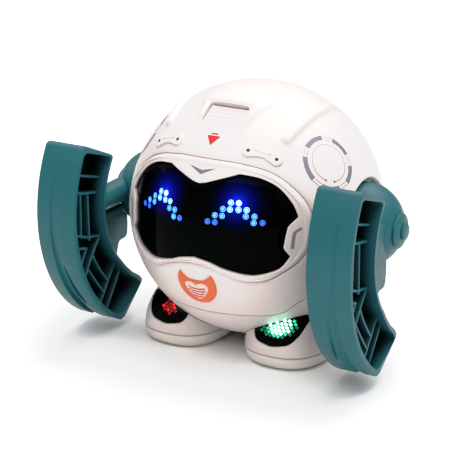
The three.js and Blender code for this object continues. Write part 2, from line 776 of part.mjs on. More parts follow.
function motorCan() {
  const start = PLATE.inner + PLATE.thickness + GAP;
  const can = slab('x', roundedRectangle(10, 7.5, 6, ...centres.motor), start, start + 25);
  const boss = bar('x', 3.1, PLATE.inner, start + 1, centres.motor, 18);
  const tail = bar('x', 3.4, start + 24, start + 27, centres.motor, 18);
  return cut(join(can, boss, tail), bar('x', PIN_R + FIT, 0, 20, centres.motor, 8));
}

// ---------------------------------------------------------------- power and electronics
function batteryBox() {
  const outer = block(
    [-BAY.x - BAY.wall, BAY.x + BAY.wall],
    [BAY.floor - BAY.wall, 60],
    [-BAY.z - BAY.wall, BAY.z + BAY.wall],
  );
  const cavity = block([-BAY.x, BAY.x], [BAY.floor, 61], [-BAY.z, BAY.z]);
  const fins = [-1, 1].map((side) =>
    block(
      [(side * CELL.pitch) / 2 - 0.3, (side * CELL.pitch) / 2 + 0.3],
      [BAY.floor - 1, BAY.floor + 5],
      [-BAY.z + 3, BAY.z - 3],
    ),
  );
  return join(cut(outer, cavity), ...fins).intersect(ball(BALL_R - WALL - 1.8));
}

const CELL_PLACES = [-1, 0, 1].map((k) => [k * CELL.pitch, CELL.y]);

function cell(place, flipped) {
  const half = CELL.length / 2;
  const can = bar('z', CELL.radius, -half, half, place, 24);
  const button = flipped
    ? bar('z', 2.6, -half - 1, -half + 1, place, 10)
    : bar('z', 2.6, half - 1, half + 1, place, 10);
  return join(can, button);
}

/** Contact strip with a spring cone or a dimple for each cell. */
function contactStrip(level, towards) {
  const z = [level - 0.3, level + 0.3];
  const strip = block([-22.4, 22.4], [CELL.y - 4.5, CELL.y + 4.5], z);
  const cones = CELL_PLACES.map(([x, y]) => {
    const cone = new THREE.CylinderGeometry(1.6, 3.2, 2, 10).rotateX((towards * Math.PI) / 2);
    return solid(cone.translate(x, y, level + towards));
  });
  return join(strip, ...cones);
}

function batteryDoor() {
  const outline = roundedRectangle(DOOR.x - GAP, DOOR.z - GAP, DOOR.corner - GAP);
  const patch = skin(BALL_R, BALL_R - WALL).intersect(slab('y', outline, ...BACK));
  const boss = bar('y', 4.2, 50, BALL_R - 1, [0, 24.5], 16).intersect(ball(BALL_R - 0.5));
  const well = join(
    bar('y', 3, 57.2, BALL_R + 1, [0, 24.5], 16),
    bar('y', 1.6, 40, BALL_R, [0, 24.5], 8),
  );
  return cut(join(patch, boss), well);
}

const doorScrew = join(
  bar('y', 1.1, 47, 58, [0, 24.5], 8),
  bar('y', 2.6, 57.5, 59, [0, 24.5], 10),
);

const speaker = join(
  bar('z', 10, -58.8, -57.2, [0, 4.5], 24),
  bar('z', 6, -57.2, -54.6, [0, 4.5], 20),
);
const mainBoard = block([-22, 22], [1, 25], [-46.6, -45]);
const switchBody = switchBlock([-6.5, 6.5], 3.2, [54, 59.6]);
const switchKnob = switchBlock([2, 4.1], 1.7, [59.9, BALL_R - 0.6]);

// ---------------------------------------------------------------- assembly
piece('helmet_shell', helmetShell(), WHITE);
piece('base_pan', basePan(), WHITE);
piece('face_bezel', faceBezel, WHITE);
piece('visor', visor, SMOKED);
pair('eye_mask', eyeMask(), DARK);
piece('eye_board', eyeBoard, BOARD);
pair('eye_led', eyeLed, BLUE_LED);
piece('vent_grille', ventGrille(), WHITE);
pair('brow_plate', brow(), WHITE);
piece('mouth_badge', mouthBadge, ORANGE);

pair('foot_shell', footShell(), WHITE);
pair('foot_sole', footSole, RUBBER);
pair('foot_lens', footLens, SMOKED);
pair('foot_board', footBoard, BOARD);
pair('foot_led', footLed, GREEN_LED, RED_LED);
pair('foot_screw', footScrew, STEEL);
pair('base_screw', baseScrew, STEEL);

piece('axle', axle, STEEL);
pair('axle_bush', axleBush, NYLON);
pair('arm_wheel', armWheel(), TEAL);
pair('hub_dome', hubDome, TEAL);
pair('hub_flange', hubFlange, TEAL);
pair('hub_cap', hubCap, TEAL);

piece('final_gear', finalGear, NYLON);
piece('second_gear', secondGear(), NYLON);
piece('first_gear', firstGear(), NYLON);
piece('motor_pinion', motorPinion(), STEEL);
piece('second_gear_pin', gearPin(centres.second), STEEL);
piece('first_gear_pin', gearPin(centres.first), STEEL);
piece('gearbox_plate_left', gearboxPlate(1), DARK);
piece('gearbox_plate_right', gearboxPlate(-1), DARK);
piece('drive_motor', motorCan(), STEEL);

piece('battery_box', batteryBox(), DARK);
CELL_PLACES.forEach((place, i) => piece(`cell_${i + 1}`, cell(place, i === 1), CELL_WRAP));
piece('spring_contact', contactStrip(-28.6, 1), STEEL);
piece('flat_contact', contactStrip(28.6, -1), STEEL);
piece('battery_door', batteryDoor(), WHITE);
piece('door_screw', doorScrew, STEEL);
piece('speaker', speaker, DARK);
piece('main_board', mainBoard, BOARD);
piece('switch_body', switchBody, DARK);
piece('switch_knob', switchKnob, DARK);

export default robot;
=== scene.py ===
"""Looks of the tumbling ball robot: shells, window, lamps, feet and arm wheels round the CAD frame.

Lengths in this script are millimetres from the middle of the ball, with the robot looking along -Y
and +X on its left; place() turns them into metres in the frame.
"""

import json
import math

import bpy
import numpy as np
from mathutils import Matrix, Vector
from mathutils.bvhtree import BVHTree


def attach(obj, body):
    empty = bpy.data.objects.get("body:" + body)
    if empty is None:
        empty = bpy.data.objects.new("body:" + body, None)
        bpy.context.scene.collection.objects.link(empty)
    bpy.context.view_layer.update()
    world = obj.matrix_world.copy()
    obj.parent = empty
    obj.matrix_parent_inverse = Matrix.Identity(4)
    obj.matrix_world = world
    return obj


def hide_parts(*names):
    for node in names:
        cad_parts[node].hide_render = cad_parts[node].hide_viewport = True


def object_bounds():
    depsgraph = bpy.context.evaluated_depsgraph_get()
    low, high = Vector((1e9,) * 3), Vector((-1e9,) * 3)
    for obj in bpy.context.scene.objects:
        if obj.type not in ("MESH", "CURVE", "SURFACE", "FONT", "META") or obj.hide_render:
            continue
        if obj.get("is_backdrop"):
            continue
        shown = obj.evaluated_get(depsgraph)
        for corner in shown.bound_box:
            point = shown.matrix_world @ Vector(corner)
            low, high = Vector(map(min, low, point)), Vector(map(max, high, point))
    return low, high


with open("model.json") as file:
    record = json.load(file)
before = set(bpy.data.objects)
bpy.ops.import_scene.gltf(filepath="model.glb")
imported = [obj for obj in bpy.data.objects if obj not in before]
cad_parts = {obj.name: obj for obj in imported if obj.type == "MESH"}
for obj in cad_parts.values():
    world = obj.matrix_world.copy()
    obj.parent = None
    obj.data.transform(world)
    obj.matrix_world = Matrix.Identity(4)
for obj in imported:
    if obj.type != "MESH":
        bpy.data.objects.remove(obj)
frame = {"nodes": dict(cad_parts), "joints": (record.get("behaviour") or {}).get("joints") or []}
CAD_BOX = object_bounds()

# ---------------------------------------------------------------- driving dimensions
MM = 0.001
AXLE_JOINT = next(joint for joint in frame["joints"] if joint["name"] == "arm_spin")
CENTRE = np.array(AXLE_JOINT["pos_m"])
AXLE_HEIGHT = CENTRE[2] / MM
BALL_R = 65.0
WALL = 2.4
GAP = 0.3

ARC_MIDDLE = 74.85
ARC_WIDTH = 22.5
ARC_OUTER = 71.9
ARC_INNER = 43.0
ARC_TOP = 32.0
ARC_BOTTOM = -76.0
ARC_SLANT = 0.27  # degrees of lean of the lower end face for each millimetre of X
ARC_BAND = 2.6
ARC_LIP = 2.2
ARC_END_WALL = 2.4
ARC_WEB = 2.0
RIB_DEPTH = 4.5
RIB_THICKNESS = 1.5

DOME_CENTRE = 57.4
DOME_R = 22.0
DOME_REACH = 23.0
BORE_R = 2.65  # of the dome and collar on the axle
RECESS_FLOOR = 56.6
RECESS_R = 22.9

SEAM_LOW = -39.3
SEAM_HIGH = -28.2
SEAM_TURN = 36.0
SEAM_RISE = 48.0

DOOR_X = 25.5
DOOR_Z = 29.5
DOOR_CORNER = 5.0

FOOT_X = 29.5
FOOT_Y = -8.8

BEZEL_FLAT = 65.35  # radius of the flat part of the face ring
VISOR_R = 64.1
SIDES = {"left": 1, "right": -1}
SHARP = math.radians(38)  # edges sharper than this stay crisp


# ---------------------------------------------------------------- mesh helpers
def place(points):
    """Millimetres from the ball's middle to metres in the frame."""
    return np.asarray(points, float).reshape(-1, 3) * MM + CENTRE


def smoothed(obj):
    """Smooth shading between the crisp edges."""
    obj.data.shade_smooth()
    obj.data.set_sharp_from_angle(angle=SHARP)
    return obj


def link(name, data):
    obj = bpy.data.objects.new(name, data)
    bpy.context.scene.collection.objects.link(obj)
    return obj


def make(name, points, faces, material=None):
    """A mesh object from millimetre points, with its faces turned outwards."""
    mesh = bpy.data.meshes.new(name)
    mesh.from_pydata(place(points).tolist(), [], [list(map(int, face)) for face in faces])
    mesh.update()
    if material is not None:
        mesh.materials.append(material)
    corners = np.array([v.co for v in mesh.vertices], float)
    mesh.calc_loop_triangles()
    a, b, c = corners[[tuple(t.vertices) for t in mesh.loop_triangles]].transpose(1, 0, 2)
    if np.sum(a * np.cross(b, c)) < 0:
        mesh.flip_normals()
    return smoothed(link(name, mesh))


def ring_faces(levels, count, wrap=False):
    """Quads between rings of `count` points; wrap joins the last ring to the first."""
    faces = []
    for level in range(levels if wrap else levels - 1):
        low = level * count
        high = ((level + 1) % levels) * count
        for i in range(count):
            j = (i + 1) % count
            faces.append((low + i, low + j, high + j, high + i))
    return faces


def closed_rings(name, rings, material=None):
    """A closed skin through rings of points, capped at both ends."""
    count = len(rings[0])
    points = np.concatenate(rings)
    faces = ring_faces(len(rings), count)
    top = (len(rings) - 1) * count
    faces.append(tuple(range(count - 1, -1, -1)))
    faces.append(tuple(range(top, top + count)))
    return make(name, points, faces, material)


def prism(axis, outline, low, high, name="prism"):
    """An outline pushed along an axis: (y, z) outlines along X, (x, z) along Y, (x, y) along Z."""
    outline = np.asarray(outline, float)
    rings = []
    for level in (low, high):
        along = np.full(len(outline), level)
        columns = {
            "x": (along, outline[:, 0], outline[:, 1]),
            "y": (outline[:, 0], along, outline[:, 1]),
            "z": (outline[:, 0], outline[:, 1], along),
        }[axis]
        rings.append(np.column_stack(columns))
    return closed_rings(name, rings)


def circle(radius, steps=64, centre=(0, 0)):
    angles = np.linspace(0, 2 * math.pi, steps, endpoint=False)
    return np.column_stack(
        (centre[0] + radius * np.cos(angles), centre[1] + radius * np.sin(angles))
    )


def bar(axis, radius, low, high, centre=(0, 0), steps=48):
    return prism(axis, circle(radius, steps, centre), low, high)


def block(x, y, z):
    return prism("z", [(x[0], y[0]), (x[1], y[0]), (x[1], y[1]), (x[0], y[1])], z[0], z[1])


def turned(name, profile, side=1, centre=(0, 0), axis="x", steps=96):
    """A body of revolution from [radius, distance along the axis] points round its section."""
    angles = np.linspace(0, 2 * math.pi, steps, endpoint=False)
    order = {"x": (0, 1, 2), "y": (1, 0, 2), "z": (1, 2, 0)}[axis]
    rings = []
    for radius, along in profile:
        reach = max(radius, 1e-3)
        columns = (
            np.full(steps, side * along),
            centre[0] + reach * np.cos(angles),
            centre[1] + reach * np.sin(angles),
        )
        rings.append(np.column_stack([columns[k] for k in order]))
    if profile[0][0] == 0:
        return closed_rings(name, rings)
    return make(name, np.concatenate(rings), ring_faces(len(rings), steps, wrap=True))


def apply_modifiers(obj):
    bpy.context.view_layer.update()
    graph = bpy.context.evaluated_depsgraph_get()
    mesh = bpy.data.meshes.new_from_object(obj.evaluated_get(graph))
    obj.modifiers.clear()
    obj.data = mesh
    return smoothed(obj)


def combine(obj, tools, operation="DIFFERENCE"):
    """Boolean of obj with each tool in turn; the tools are used up."""
    for tool in tools:
        modifier = obj.modifiers.new("boolean", "BOOLEAN")
        modifier.operation = operation
        modifier.solver = "MANIFOLD"
        modifier.material_mode = "TRANSFER"
        modifier.object = tool
    apply_modifiers(obj)
    for tool in tools:
        bpy.data.objects.remove(tool)
    return obj


def rounded(obj, width, segments=2):
    """Rounds every edge that is sharper than 35 degrees."""
    modifier = obj.modifiers.new("round", "BEVEL")
    modifier.width = width * MM
    modifier.segments = segments
    modifier.limit_method = "ANGLE"
    modifier.angle_limit = math.radians(35)
    modifier.use_clamp_overlap = True
    return apply_modifiers(obj)


def add_piece(obj, body, slot, material=None, *nodes):
    """The piece rides on a body, takes the material given and may stand for CAD nodes; the slot is
    not used.
    """
    if material is not None:
        obj.data.materials.clear()
        obj.data.materials.append(material)
    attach(obj, body)
    if nodes:
        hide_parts(*nodes)
    return obj


# ---------------------------------------------------------------- outline helpers
def spline(knots, count):
    """Points along a Catmull-Rom curve through the knots."""
    knots = np.asarray(knots, float)
    last = len(knots) - 1
    points = []
    for t in np.linspace(0, last, count):
        i = min(int(t), last - 1)
        u = t - i
        p0, p1, p2, p3 = (knots[k] for k in (max(i - 1, 0), i, i + 1, min(i + 2, last)))
        v0 = (p2 - p0) / 2
        v1 = (p3 - p1) / 2
        points.append(
            (2 * p1 - 2 * p2 + v0 + v1) * u**3
            + (-3 * p1 + 3 * p2 - 2 * v0 - v1) * u**2
            + v0 * u
            + p1
        )
    return np.array(points)


def mirrored(half):
    """A half outline from top middle to bottom middle, closed by its mirror image in x."""
    half = np.asarray(half, float)
    return np.concatenate((half, half[-2:0:-1] * (-1, 1)))


def resampled(outline, spacing):
    """A closed outline with extra points about `spacing` apart between its own."""
    outline = np.asarray(outline, float)
    result = []
    for i, point in enumerate(outline):
        after = outline[(i + 1) % len(outline)]
        steps = max(1, round(np.linalg.norm(after - point) / spacing))
        result.extend(point + (after - point) * k / steps for k in range(steps))
    return np.array(result)


def inset(outline, distance):
    """A closed outline moved inwards by a small distance."""
    outline = np.asarray(outline, float)
    before = np.roll(outline, 1, axis=0)
    after = np.roll(outline, -1, axis=0)
    area = np.sum(outline[:, 0] * after[:, 1] - after[:, 0] * outline[:, 1])
    along = after - before
    along /= np.linalg.norm(along, axis=1)[:, None]
    normal = np.column_stack((-along[:, 1], along[:, 0])) * np.sign(area)
    return outline + normal * distance


def round_corners(outline, radius, steps=5, angle=20):
    """A closed outline whose corners sharper than `angle` degrees become short curves."""
    outline = np.asarray(outline, float)
    result = []
    for i, point in enumerate(outline):
        before = outline[i - 1] - point
        after = outline[(i + 1) % len(outline)] - point
        lengths = np.linalg.norm(before), np.linalg.norm(after)
        cosine = np.clip(-before.dot(after) / (lengths[0] * lengths[1]), -1, 1)
        if math.degrees(math.acos(cosine)) < angle:
            result.append(point)
            continue
        reach = min(radius, lengths[0] * 0.45, lengths[1] * 0.45)
        start = point + before / lengths[0] * reach
        end = point + after / lengths[1] * reach
        for t in np.linspace(0, 1, steps):
            result.append(start * (1 - t) ** 2 + 2 * point * t * (1 - t) + end * t**2)
    return np.array(result)


def rounded_rectangle(half_x, half_y, corner):
    points = []
    for quarter, (sx, sy) in enumerate(((1, 1), (-1, 1), (-1, -1), (1, -1))):
        middle = np.array((sx * (half_x - corner), sy * (half_y - corner)))
        for angle in np.linspace(quarter, quarter + 1, 10) * math.pi / 2:
            points.append(middle + corner * np.array((math.cos(angle), math.sin(angle))))
    return np.array(points)


def distance_to(points, path, closed=False):
    """Distance of each point to a polyline, in any number of dimensions."""
    path = np.asarray(path, float)
    starts = path if closed else path[:-1]
    ends = np.roll(path, -1, axis=0) if closed else path[1:]
    nearest = np.full(len(points), 1e9)
    for start, end in zip(starts, ends):
        along = end - start
        t = np.clip((points - start) @ along / max(along @ along, 1e-9), 0, 1)
        gap = points - start - t[:, None] * along
        nearest = np.minimum(nearest, np.sqrt((gap * gap).sum(1)))
    return nearest


def smoothstep(value, low, high):
    t = np.clip((value - low) / (high - low), 0, 1)
    return t * t * (3 - 2 * t)


# ---------------------------------------------------------------- plates that follow the ball
def on_front(points, radius):
    """(x, z) points pushed along Y onto the front of a ball."""
    x, z = np.asarray(points, float).T
    radius = np.broadcast_to(radius, x.shape)
    y = -np.sqrt(np.maximum(radius**2 - x**2 - z**2, 1))
    return np.column_stack((x, y, z))


def on_back(points, radius):
    return on_front(points, radius) * (1, -1, 1)


def on_side(out, along):
    """A projector onto the ball from the plane that touches it at `out`; `along` is its u axis."""
    out = np.asarray(out, float) / np.linalg.norm(out)
    u_axis = np.asarray(along, float) - np.dot(along, out) * out
    u_axis /= np.linalg.norm(u_axis)
    v_axis = np.cross(out, u_axis)

    def project(points, radius):
        u, v = np.asarray(points, float).T
        radius = np.broadcast_to(radius, u.shape)
        depth = np.sqrt(np.maximum(radius**2 - u**2 - v**2, 1))
        return u[:, None] * u_axis + v[:, None] * v_axis + depth[:, None] * out

    return project


def plate(name, outline, centre, project, profile, material, rings, relief=None):
    """A plate that follows the ball, with an edge profile of (distance inwards, radius) points.

    The profile starts at the underside of the edge and ends on the top. From there the top runs
    to the centre; relief(points) adds a height to it. The underside is flat at the first radius.
    """
    outline = np.asarray(outline, float)
    centre = np.asarray(centre, float)
    reach = np.linalg.norm(outline - centre, axis=1)[:, None]
    inwards = (centre - outline) / reach
    loops = []
    top = profile[-1][1]
    for distance, radius in profile:
        loops.append((outline + inwards * np.minimum(distance, reach * 0.9), radius))
    edge = loops[-1][0]
    for k in range(1, rings):
        loops.append((edge + (centre - edge) * k / rings, top))
    points = []
    for flat, radius in loops:
        extra = relief(flat) if relief and radius == top else 0
        points.append(project(flat, radius + extra))
    tip = project([centre], top + (relief(centre[None]) if relief else 0))
    base_tip = project([centre], profile[0][1])
    count = len(outline)
    faces = ring_faces(len(points), count)
    high = (len(points) - 1) * count
    tip_index = len(points) * count
    for i in range(count):
        j = (i + 1) % count
        faces.append((high + i, high + j, tip_index))
        faces.append((j, i, tip_index + 1))
    return make(name, np.concatenate([*points, tip, base_tip]), faces, material)


def flat_mark(name, outline, centre, project, radius, material, height=0.08):
    """A thin printed or moulded patch on a ball, from an outline seen whole from its centre."""
    profile = [(0, radius - 0.15), (0, radius + height)]
    return plate(name, resampled(outline, 0.5), centre, project, profile, material, 5)


def ribbon(name, path, width, project, low, high, material):
    """A thin printed line along an open path on a ball."""
    left, right = np.split(stroke(path, width), 2)
    right = right[::-1]
    corners = ((left, low), (left, high), (right, high), (right, low))
    rings = np.stack([project(points, radius) for points, radius in corners], axis=1)
    return closed_rings(name, list(rings), material)


def stroke(path, width):
    """The outline of a line of some width along an open path."""
    path = np.asarray(path, float)
    along = np.gradient(path, axis=0)
    along /= np.linalg.norm(along, axis=1)[:, None]
    side = np.column_stack((-along[:, 1], along[:, 0])) * width / 2
    return np.concatenate((path + side, (path - side)[::-1]))


def join_objects(name, objects):
    """One object from several; the others are used up."""
    points = []
    faces = []
    materials = []
    indices = []
    for mesh in [o.data for o in objects]:
        offset = len(points)
        points.extend(tuple(v.co) for v in mesh.vertices)
        for polygon in mesh.polygons:
            faces.append([offset + i for i in polygon.vertices])
            material = mesh.materials[polygon.material_index] if mesh.materials else None
            if material not in materials:
                materials.append(material)
            indices.append(materials.index(material))
    joined = bpy.data.meshes.new(name)
    joined.from_pydata(points, [], faces)
    for material in materials:
        if material is not None:
            joined.materials.append(material)
    joined.polygons.foreach_set("material_index", indices)
    joined.update()
    for o in objects:
        bpy.data.objects.remove(o)
    return smoothed(link(name, joined))


# ---------------------------------------------------------------- materials
def linear(*srgb):
    """An 8-bit sRGB colour as linear RGBA."""
    channels = [value / 255 for value in srgb]
    return [*(((c + 0.055) / 1.055) ** 2.4 if c > 0.04 else c / 12.92 for c in channels), 1]


class Finish:
    """A material on one Principled shader, with helpers for the procedural nodes round it."""

    def __init__(self, name, roughness=0.4, **sockets):
        self.material = bpy.data.materials.new(name)
        self.material.use_nodes = True
        self.nodes = self.material.node_tree.nodes
        self.links = self.material.node_tree.links
        self.shader = self.nodes["Principled BSDF"]
        self.shader.inputs["Roughness"].default_value = roughness
        for socket, value in sockets.items():
            self.shader.inputs[socket.replace("_", " ")].default_value = value
        self.place = self.nodes.new("ShaderNodeTexCoord").outputs["Object"]

    def noise(self, size, detail=3, stretch=(1, 1, 1)):
        """Noise whose features are about `size` millimetres across."""
        mapping = self.nodes.new("ShaderNodeMapping")
        mapping.inputs["Scale"].default_value = stretch
        self.links.new(self.place, mapping.inputs["Vector"])
        texture = self.nodes.new("ShaderNodeTexNoise")
        texture.inputs["Scale"].default_value = 1 / (size * MM)
        texture.inputs["Detail"].default_value = detail
        self.links.new(mapping.outputs["Vector"], texture.inputs["Vector"])
        return texture.outputs["Fac"]

    def ramp(self, factor, *stops):
        """Colours along a factor, from (position, colour) stops."""
        ramp = self.nodes.new("ShaderNodeValToRGB")
        elements = ramp.color_ramp.elements
        while len(elements) < len(stops):
            elements.new(0.5)
        for element, (position, colour) in zip(elements, stops):
            element.position = position
            element.color = colour
        self.links.new(factor, ramp.inputs["Fac"])
        return ramp.outputs["Color"]

    def span(self, factor, low, high, start=0.3, end=0.7):
        """A factor's range from start to end, mapped to low to high."""
        node = self.nodes.new("ShaderNodeMapRange")
        values = {"From Min": start, "From Max": end, "To Min": low, "To Max": high}
        for socket, value in values.items():
            node.inputs[socket].default_value = value
        self.links.new(factor, node.inputs["Value"])
        return node.outputs["Result"]

    def math(self, operation, a, b):
        node = self.nodes.new("ShaderNodeMath")
        node.operation = operation
        for socket, value in zip(node.inputs, (a, b)):
            if isinstance(value, (int, float)):
                socket.default_value = value
            else:
                self.links.new(value, socket)
        return node.outputs["Value"]

    def axis(self, name):
        """One coordinate of the shaded point, in metres."""
        node = self.nodes.new("ShaderNodeSeparateXYZ")
        self.links.new(self.place, node.inputs["Vector"])
        return node.outputs[name]

    def near(self, point, reach):
        """One at a point given in millimetres from the ball's middle, falling to 0 at reach."""
        node = self.nodes.new("ShaderNodeVectorMath")
        node.operation = "DISTANCE"
        node.inputs[1].default_value = place(point)[0]
        self.links.new(self.place, node.inputs[0])
        return self.span(node.outputs["Value"], 1, 0, 0, reach * MM)

    def colour(self, value):
        self.links.new(value, self.shader.inputs["Base Color"])

    def roughness(self, value):
        self.links.new(value, self.shader.inputs["Roughness"])

    def relief(self, height, depth, strength=1.0, round_edges=0.0):
        """Bump of some depth in millimetres, over edges softened by a small radius."""
        bump = self.nodes.new("ShaderNodeBump")
        bump.inputs["Strength"].default_value = strength
        bump.inputs["Distance"].default_value = depth * MM
        self.links.new(height, bump.inputs["Height"])
        if round_edges:
            bevel = self.nodes.new("ShaderNodeBevel")
            bevel.samples = 4
            bevel.inputs["Radius"].default_value = round_edges * MM
            self.links.new(bevel.outputs["Normal"], bump.inputs["Normal"])
        self.links.new(bump.outputs["Normal"], self.shader.inputs["Normal"])


def shade(colour, factor):
    return [*(min(1, c * factor) for c in colour[:3]), 1]


def moulded(name, colour, roughness, spread=0.03, grain=0.35, depth=0.012, edge=0.3, **sockets):
    """Injection-moulded plastic: slow colour drift, uneven gloss and a fine eroded grain."""
    finish = Finish(name, roughness, **sockets)
    drift = finish.noise(22, 4)
    stops = ((0.3, shade(colour, 1 - spread)), (0.7, shade(colour, 1 + spread)))
    finish.colour(finish.ramp(drift, *stops))
    finish.roughness(finish.span(finish.noise(5, 5), roughness - 0.05, roughness + 0.06))
    finish.relief(finish.noise(grain, 2), depth, 0.5, edge)
    return finish.material


def metal(name, colour, roughness):
    finish = Finish(name, roughness, Metallic=1.0)
    drift = finish.noise(6, 4)
    finish.colour(finish.ramp(drift, (0.3, shade(colour, 0.86)), (0.7, colour)))
    brushed = finish.noise(0.8)
    finish.roughness(finish.span(brushed, roughness - 0.07, roughness + 0.12))
    finish.relief(brushed, 0.01, 0.4, 0.12)
    return finish.material


def lamp(name, body, light, strength):
    """A lit lens: clear plastic with its own light, a little uneven from facet to facet."""
    finish = Finish(name, 0.18, IOR=1.5)
    finish.shader.inputs["Base Color"].default_value = body
    finish.shader.inputs["Emission Color"].default_value = light
    flicker = finish.span(finish.noise(0.9, 2), strength * 0.75, strength * 1.25)
    finish.links.new(flicker, finish.shader.inputs["Emission Strength"])
    return finish.material


LAMP_POINTS = {"left": (20.3, 20.9), "right": (-19.1, 20.2)}  # (x, z) of the brightest dots


def smoked_window():
    """Gloss black acrylic with a painted green reflection low in the middle and a painted blue glow
    of lamp light round the lamps.
    """
    finish = Finish("smoked_acrylic_painted_light", 0.05, Specular_IOR_Level=0.02)
    # painted reflection: a faint green patch low in the middle of the black
    painted_green_reflection = finish.near((4, -58, -2), 30)
    black = (0.0012, 0.0012, 0.0016, 1)
    finish.colour(finish.ramp(painted_green_reflection, (0.0, black), (0.9, (0.0010, 0.0035, 0.0016, 1))))
    smears = finish.noise(9, 5, (1, 1, 2.5))
    finish.roughness(finish.span(smears, 0.03, 0.08))
    # painted glow: lamp light spread over the window round the brightest dots, as emission
    painted_glow = None
    for x, z in LAMP_POINTS.values():
        spot = on_front([(x, z)], VISOR_R)[0]
        wide = finish.math("POWER", finish.near(spot, 17), 3.0)
        tight = finish.math("POWER", finish.near(spot, 7), 1.7)
        both = finish.math("ADD", finish.math("MULTIPLY", wide, 0.8), tight)
        painted_glow = both if painted_glow is None else finish.math("ADD", painted_glow, both)
    finish.shader.inputs["Emission Color"].default_value = (0.006, 0.03, 1.0, 1)
    level = finish.math("MULTIPLY", painted_glow, 0.85)
    finish.links.new(level, finish.shader.inputs["Emission Strength"])
    return finish.material


def lens_black():
    finish = Finish("lens_black", 0.08, Specular_IOR_Level=0.14)
    facets = finish.noise(2.2, 2)
    black, worn = (0.001, 0.001, 0.001, 1), (0.005, 0.005, 0.005, 1)
    finish.colour(finish.ramp(facets, (0.35, black), (0.7, worn)))
    finish.roughness(finish.span(finish.noise(4, 4), 0.05, 0.14))
    finish.relief(facets, 0.05, 0.3, 0.15)
    return finish.material


def teal_with_painted_shade():
    """The arms' plastic between the ribs, with painted shade that darkens it towards the web in the
    arm's middle plane.
    """
    finish = Finish("teal_pocket_painted_shade", 0.5, Specular_IOR_Level=0.15)
    # painted shade: the colour darkens with depth into the pocket, where the real shadow falls
    across = finish.math("ABSOLUTE", finish.axis("X"), 0)
    off_web = finish.math("ABSOLUTE", finish.math("SUBTRACT", across, ARC_MIDDLE * MM), 0)
    light = finish.span(off_web, 0, 1, 1.2 * MM, 9.5 * MM)
    stops = ((0, shade(TEAL, 0.03)), (0.4, shade(TEAL, 0.22)), (0.75, shade(TEAL, 0.7)), (1, TEAL))
    finish.colour(finish.ramp(light, *stops))
    finish.roughness(finish.span(finish.noise(5, 5), 0.45, 0.56))
    finish.relief(finish.noise(0.35, 2), 0.012, 0.5, 0.2)
    return finish.material


def circuit_green():
    """Solder mask over fine copper tracks."""
    finish = Finish("circuit_green", 0.35, Coat_Weight=0.3)
    wave = finish.nodes.new("ShaderNodeTexWave")
    wave.inputs["Scale"].default_value = 260
    wave.inputs["Distortion"].default_value = 2.5
    finish.links.new(finish.place, wave.inputs["Vector"])
    mask = linear(22, 84, 50)
    finish.colour(finish.ramp(wave.outputs["Fac"], (0.72, mask), (0.86, shade(mask, 1.9))))
    finish.roughness(finish.span(finish.noise(3, 3), 0.3, 0.45))
    finish.relief(wave.outputs["Fac"], 0.03, 0.4)
    return finish.material


def cell_sleeve():
    """Shrink-wrapped cell: dark sleeve with a copper band at one end."""
    finish = Finish("cell_sleeve", 0.3, Coat_Weight=0.4)
    low, high = (AXLE_HEIGHT - 25) * MM, (AXLE_HEIGHT + 25) * MM
    level = finish.span(finish.axis("Z"), 0, 1, low, high)
    dark = linear(44, 52, 64)
    copper = linear(186, 118, 62)
    finish.colour(finish.ramp(level, (0.70, dark), (0.715, copper)))
    finish.roughness(finish.span(finish.noise(3, 4), 0.22, 0.4))
    finish.relief(finish.noise(1.5, 3), 0.02, 0.3, 0.1)
    return finish.material


SHELL_WHITE = linear(223, 213, 210)
TEAL = linear(47, 100, 108)

WHITE = moulded(
    "white_abs", SHELL_WHITE, 0.40, 0.012, Specular_IOR_Level=0.35, Coat_Weight=0.08,
    Coat_Roughness=0.25,
)
SOLE = moulded("sole_plastic", linear(232, 225, 219), 0.6, 0.03, 0.5, 0.03)
TEAL_PLASTIC = moulded("teal_abs", TEAL, 0.38, 0.05, Specular_IOR_Level=0.2)
POCKET_PAINTED_SHADE = teal_with_painted_shade()
DARK = moulded("dark_plastic", linear(38, 40, 44), 0.55, 0.08)
NYLON = moulded("gear_nylon", linear(230, 225, 212), 0.48, 0.03)
GREY_PRINT = moulded("grey_print", linear(128, 126, 137), 0.45, 0.05, edge=0)
RED_PRINT = moulded("red_print", linear(214, 14, 22), 0.4, 0.05, edge=0)
ORANGE = moulded("orange_print", linear(224, 98, 44), 0.42, 0.05, 0.4, 0.01, 0.2)
PINK_PRINT = moulded("pink_print", linear(238, 205, 198), 0.42, 0.03, edge=0)
STRIPE_PRINT = moulded("stripe_print", linear(176, 24, 34), 0.45, 0.05, edge=0)
BLACK_PIN = moulded("black_pin", linear(16, 16, 18), 0.35, 0.1, edge=0)
WINDOW = smoked_window()
LENS = lens_black()
BOARD = circuit_green()
SLEEVE = cell_sleeve()
STEEL = metal("bright_steel", linear(190, 192, 195), 0.28)
BLUE_PEAK = lamp("blue_peak", (0.6, 0.85, 1, 1), (0.72, 0.93, 1.0, 1), 4.5)
BLUE_CORE = lamp("blue_core", (0.3, 0.6, 1, 1), (0.30, 0.66, 1.0, 1), 2.2)
BLUE_BRIGHT = lamp("blue_bright", (0.1, 0.3, 1, 1), (0.06, 0.36, 1.0, 1), 1.7)
BLUE_MID = lamp("blue_mid", (0.05, 0.2, 0.9, 1), (0.012, 0.14, 1.0, 1), 0.95)
BLUE_DIM = lamp("blue_dim", (0.02, 0.08, 0.5, 1), (0.004, 0.035, 0.85, 1), 0.55)
RED_LAMP = lamp("red_lamp", (0.5, 0.02, 0.02, 1), (1.0, 0.012, 0.02, 1), 1.1)
RED_DIM = lamp("red_dim", (0.2, 0.01, 0.01, 1), (0.7, 0.006, 0.01, 1), 0.35)
GREEN_LAMP = lamp("green_lamp", (0.4, 0.9, 0.7, 1), (0.38, 1.0, 0.66, 1), 3.4)
GREEN_MID = lamp("green_mid", (0.05, 0.6, 0.35, 1), (0.02, 0.62, 0.30, 1), 1.1)
GREEN_DIM = lamp("green_dim", (0.01, 0.2, 0.08, 1), (0.0, 0.24, 0.08, 1), 0.5)


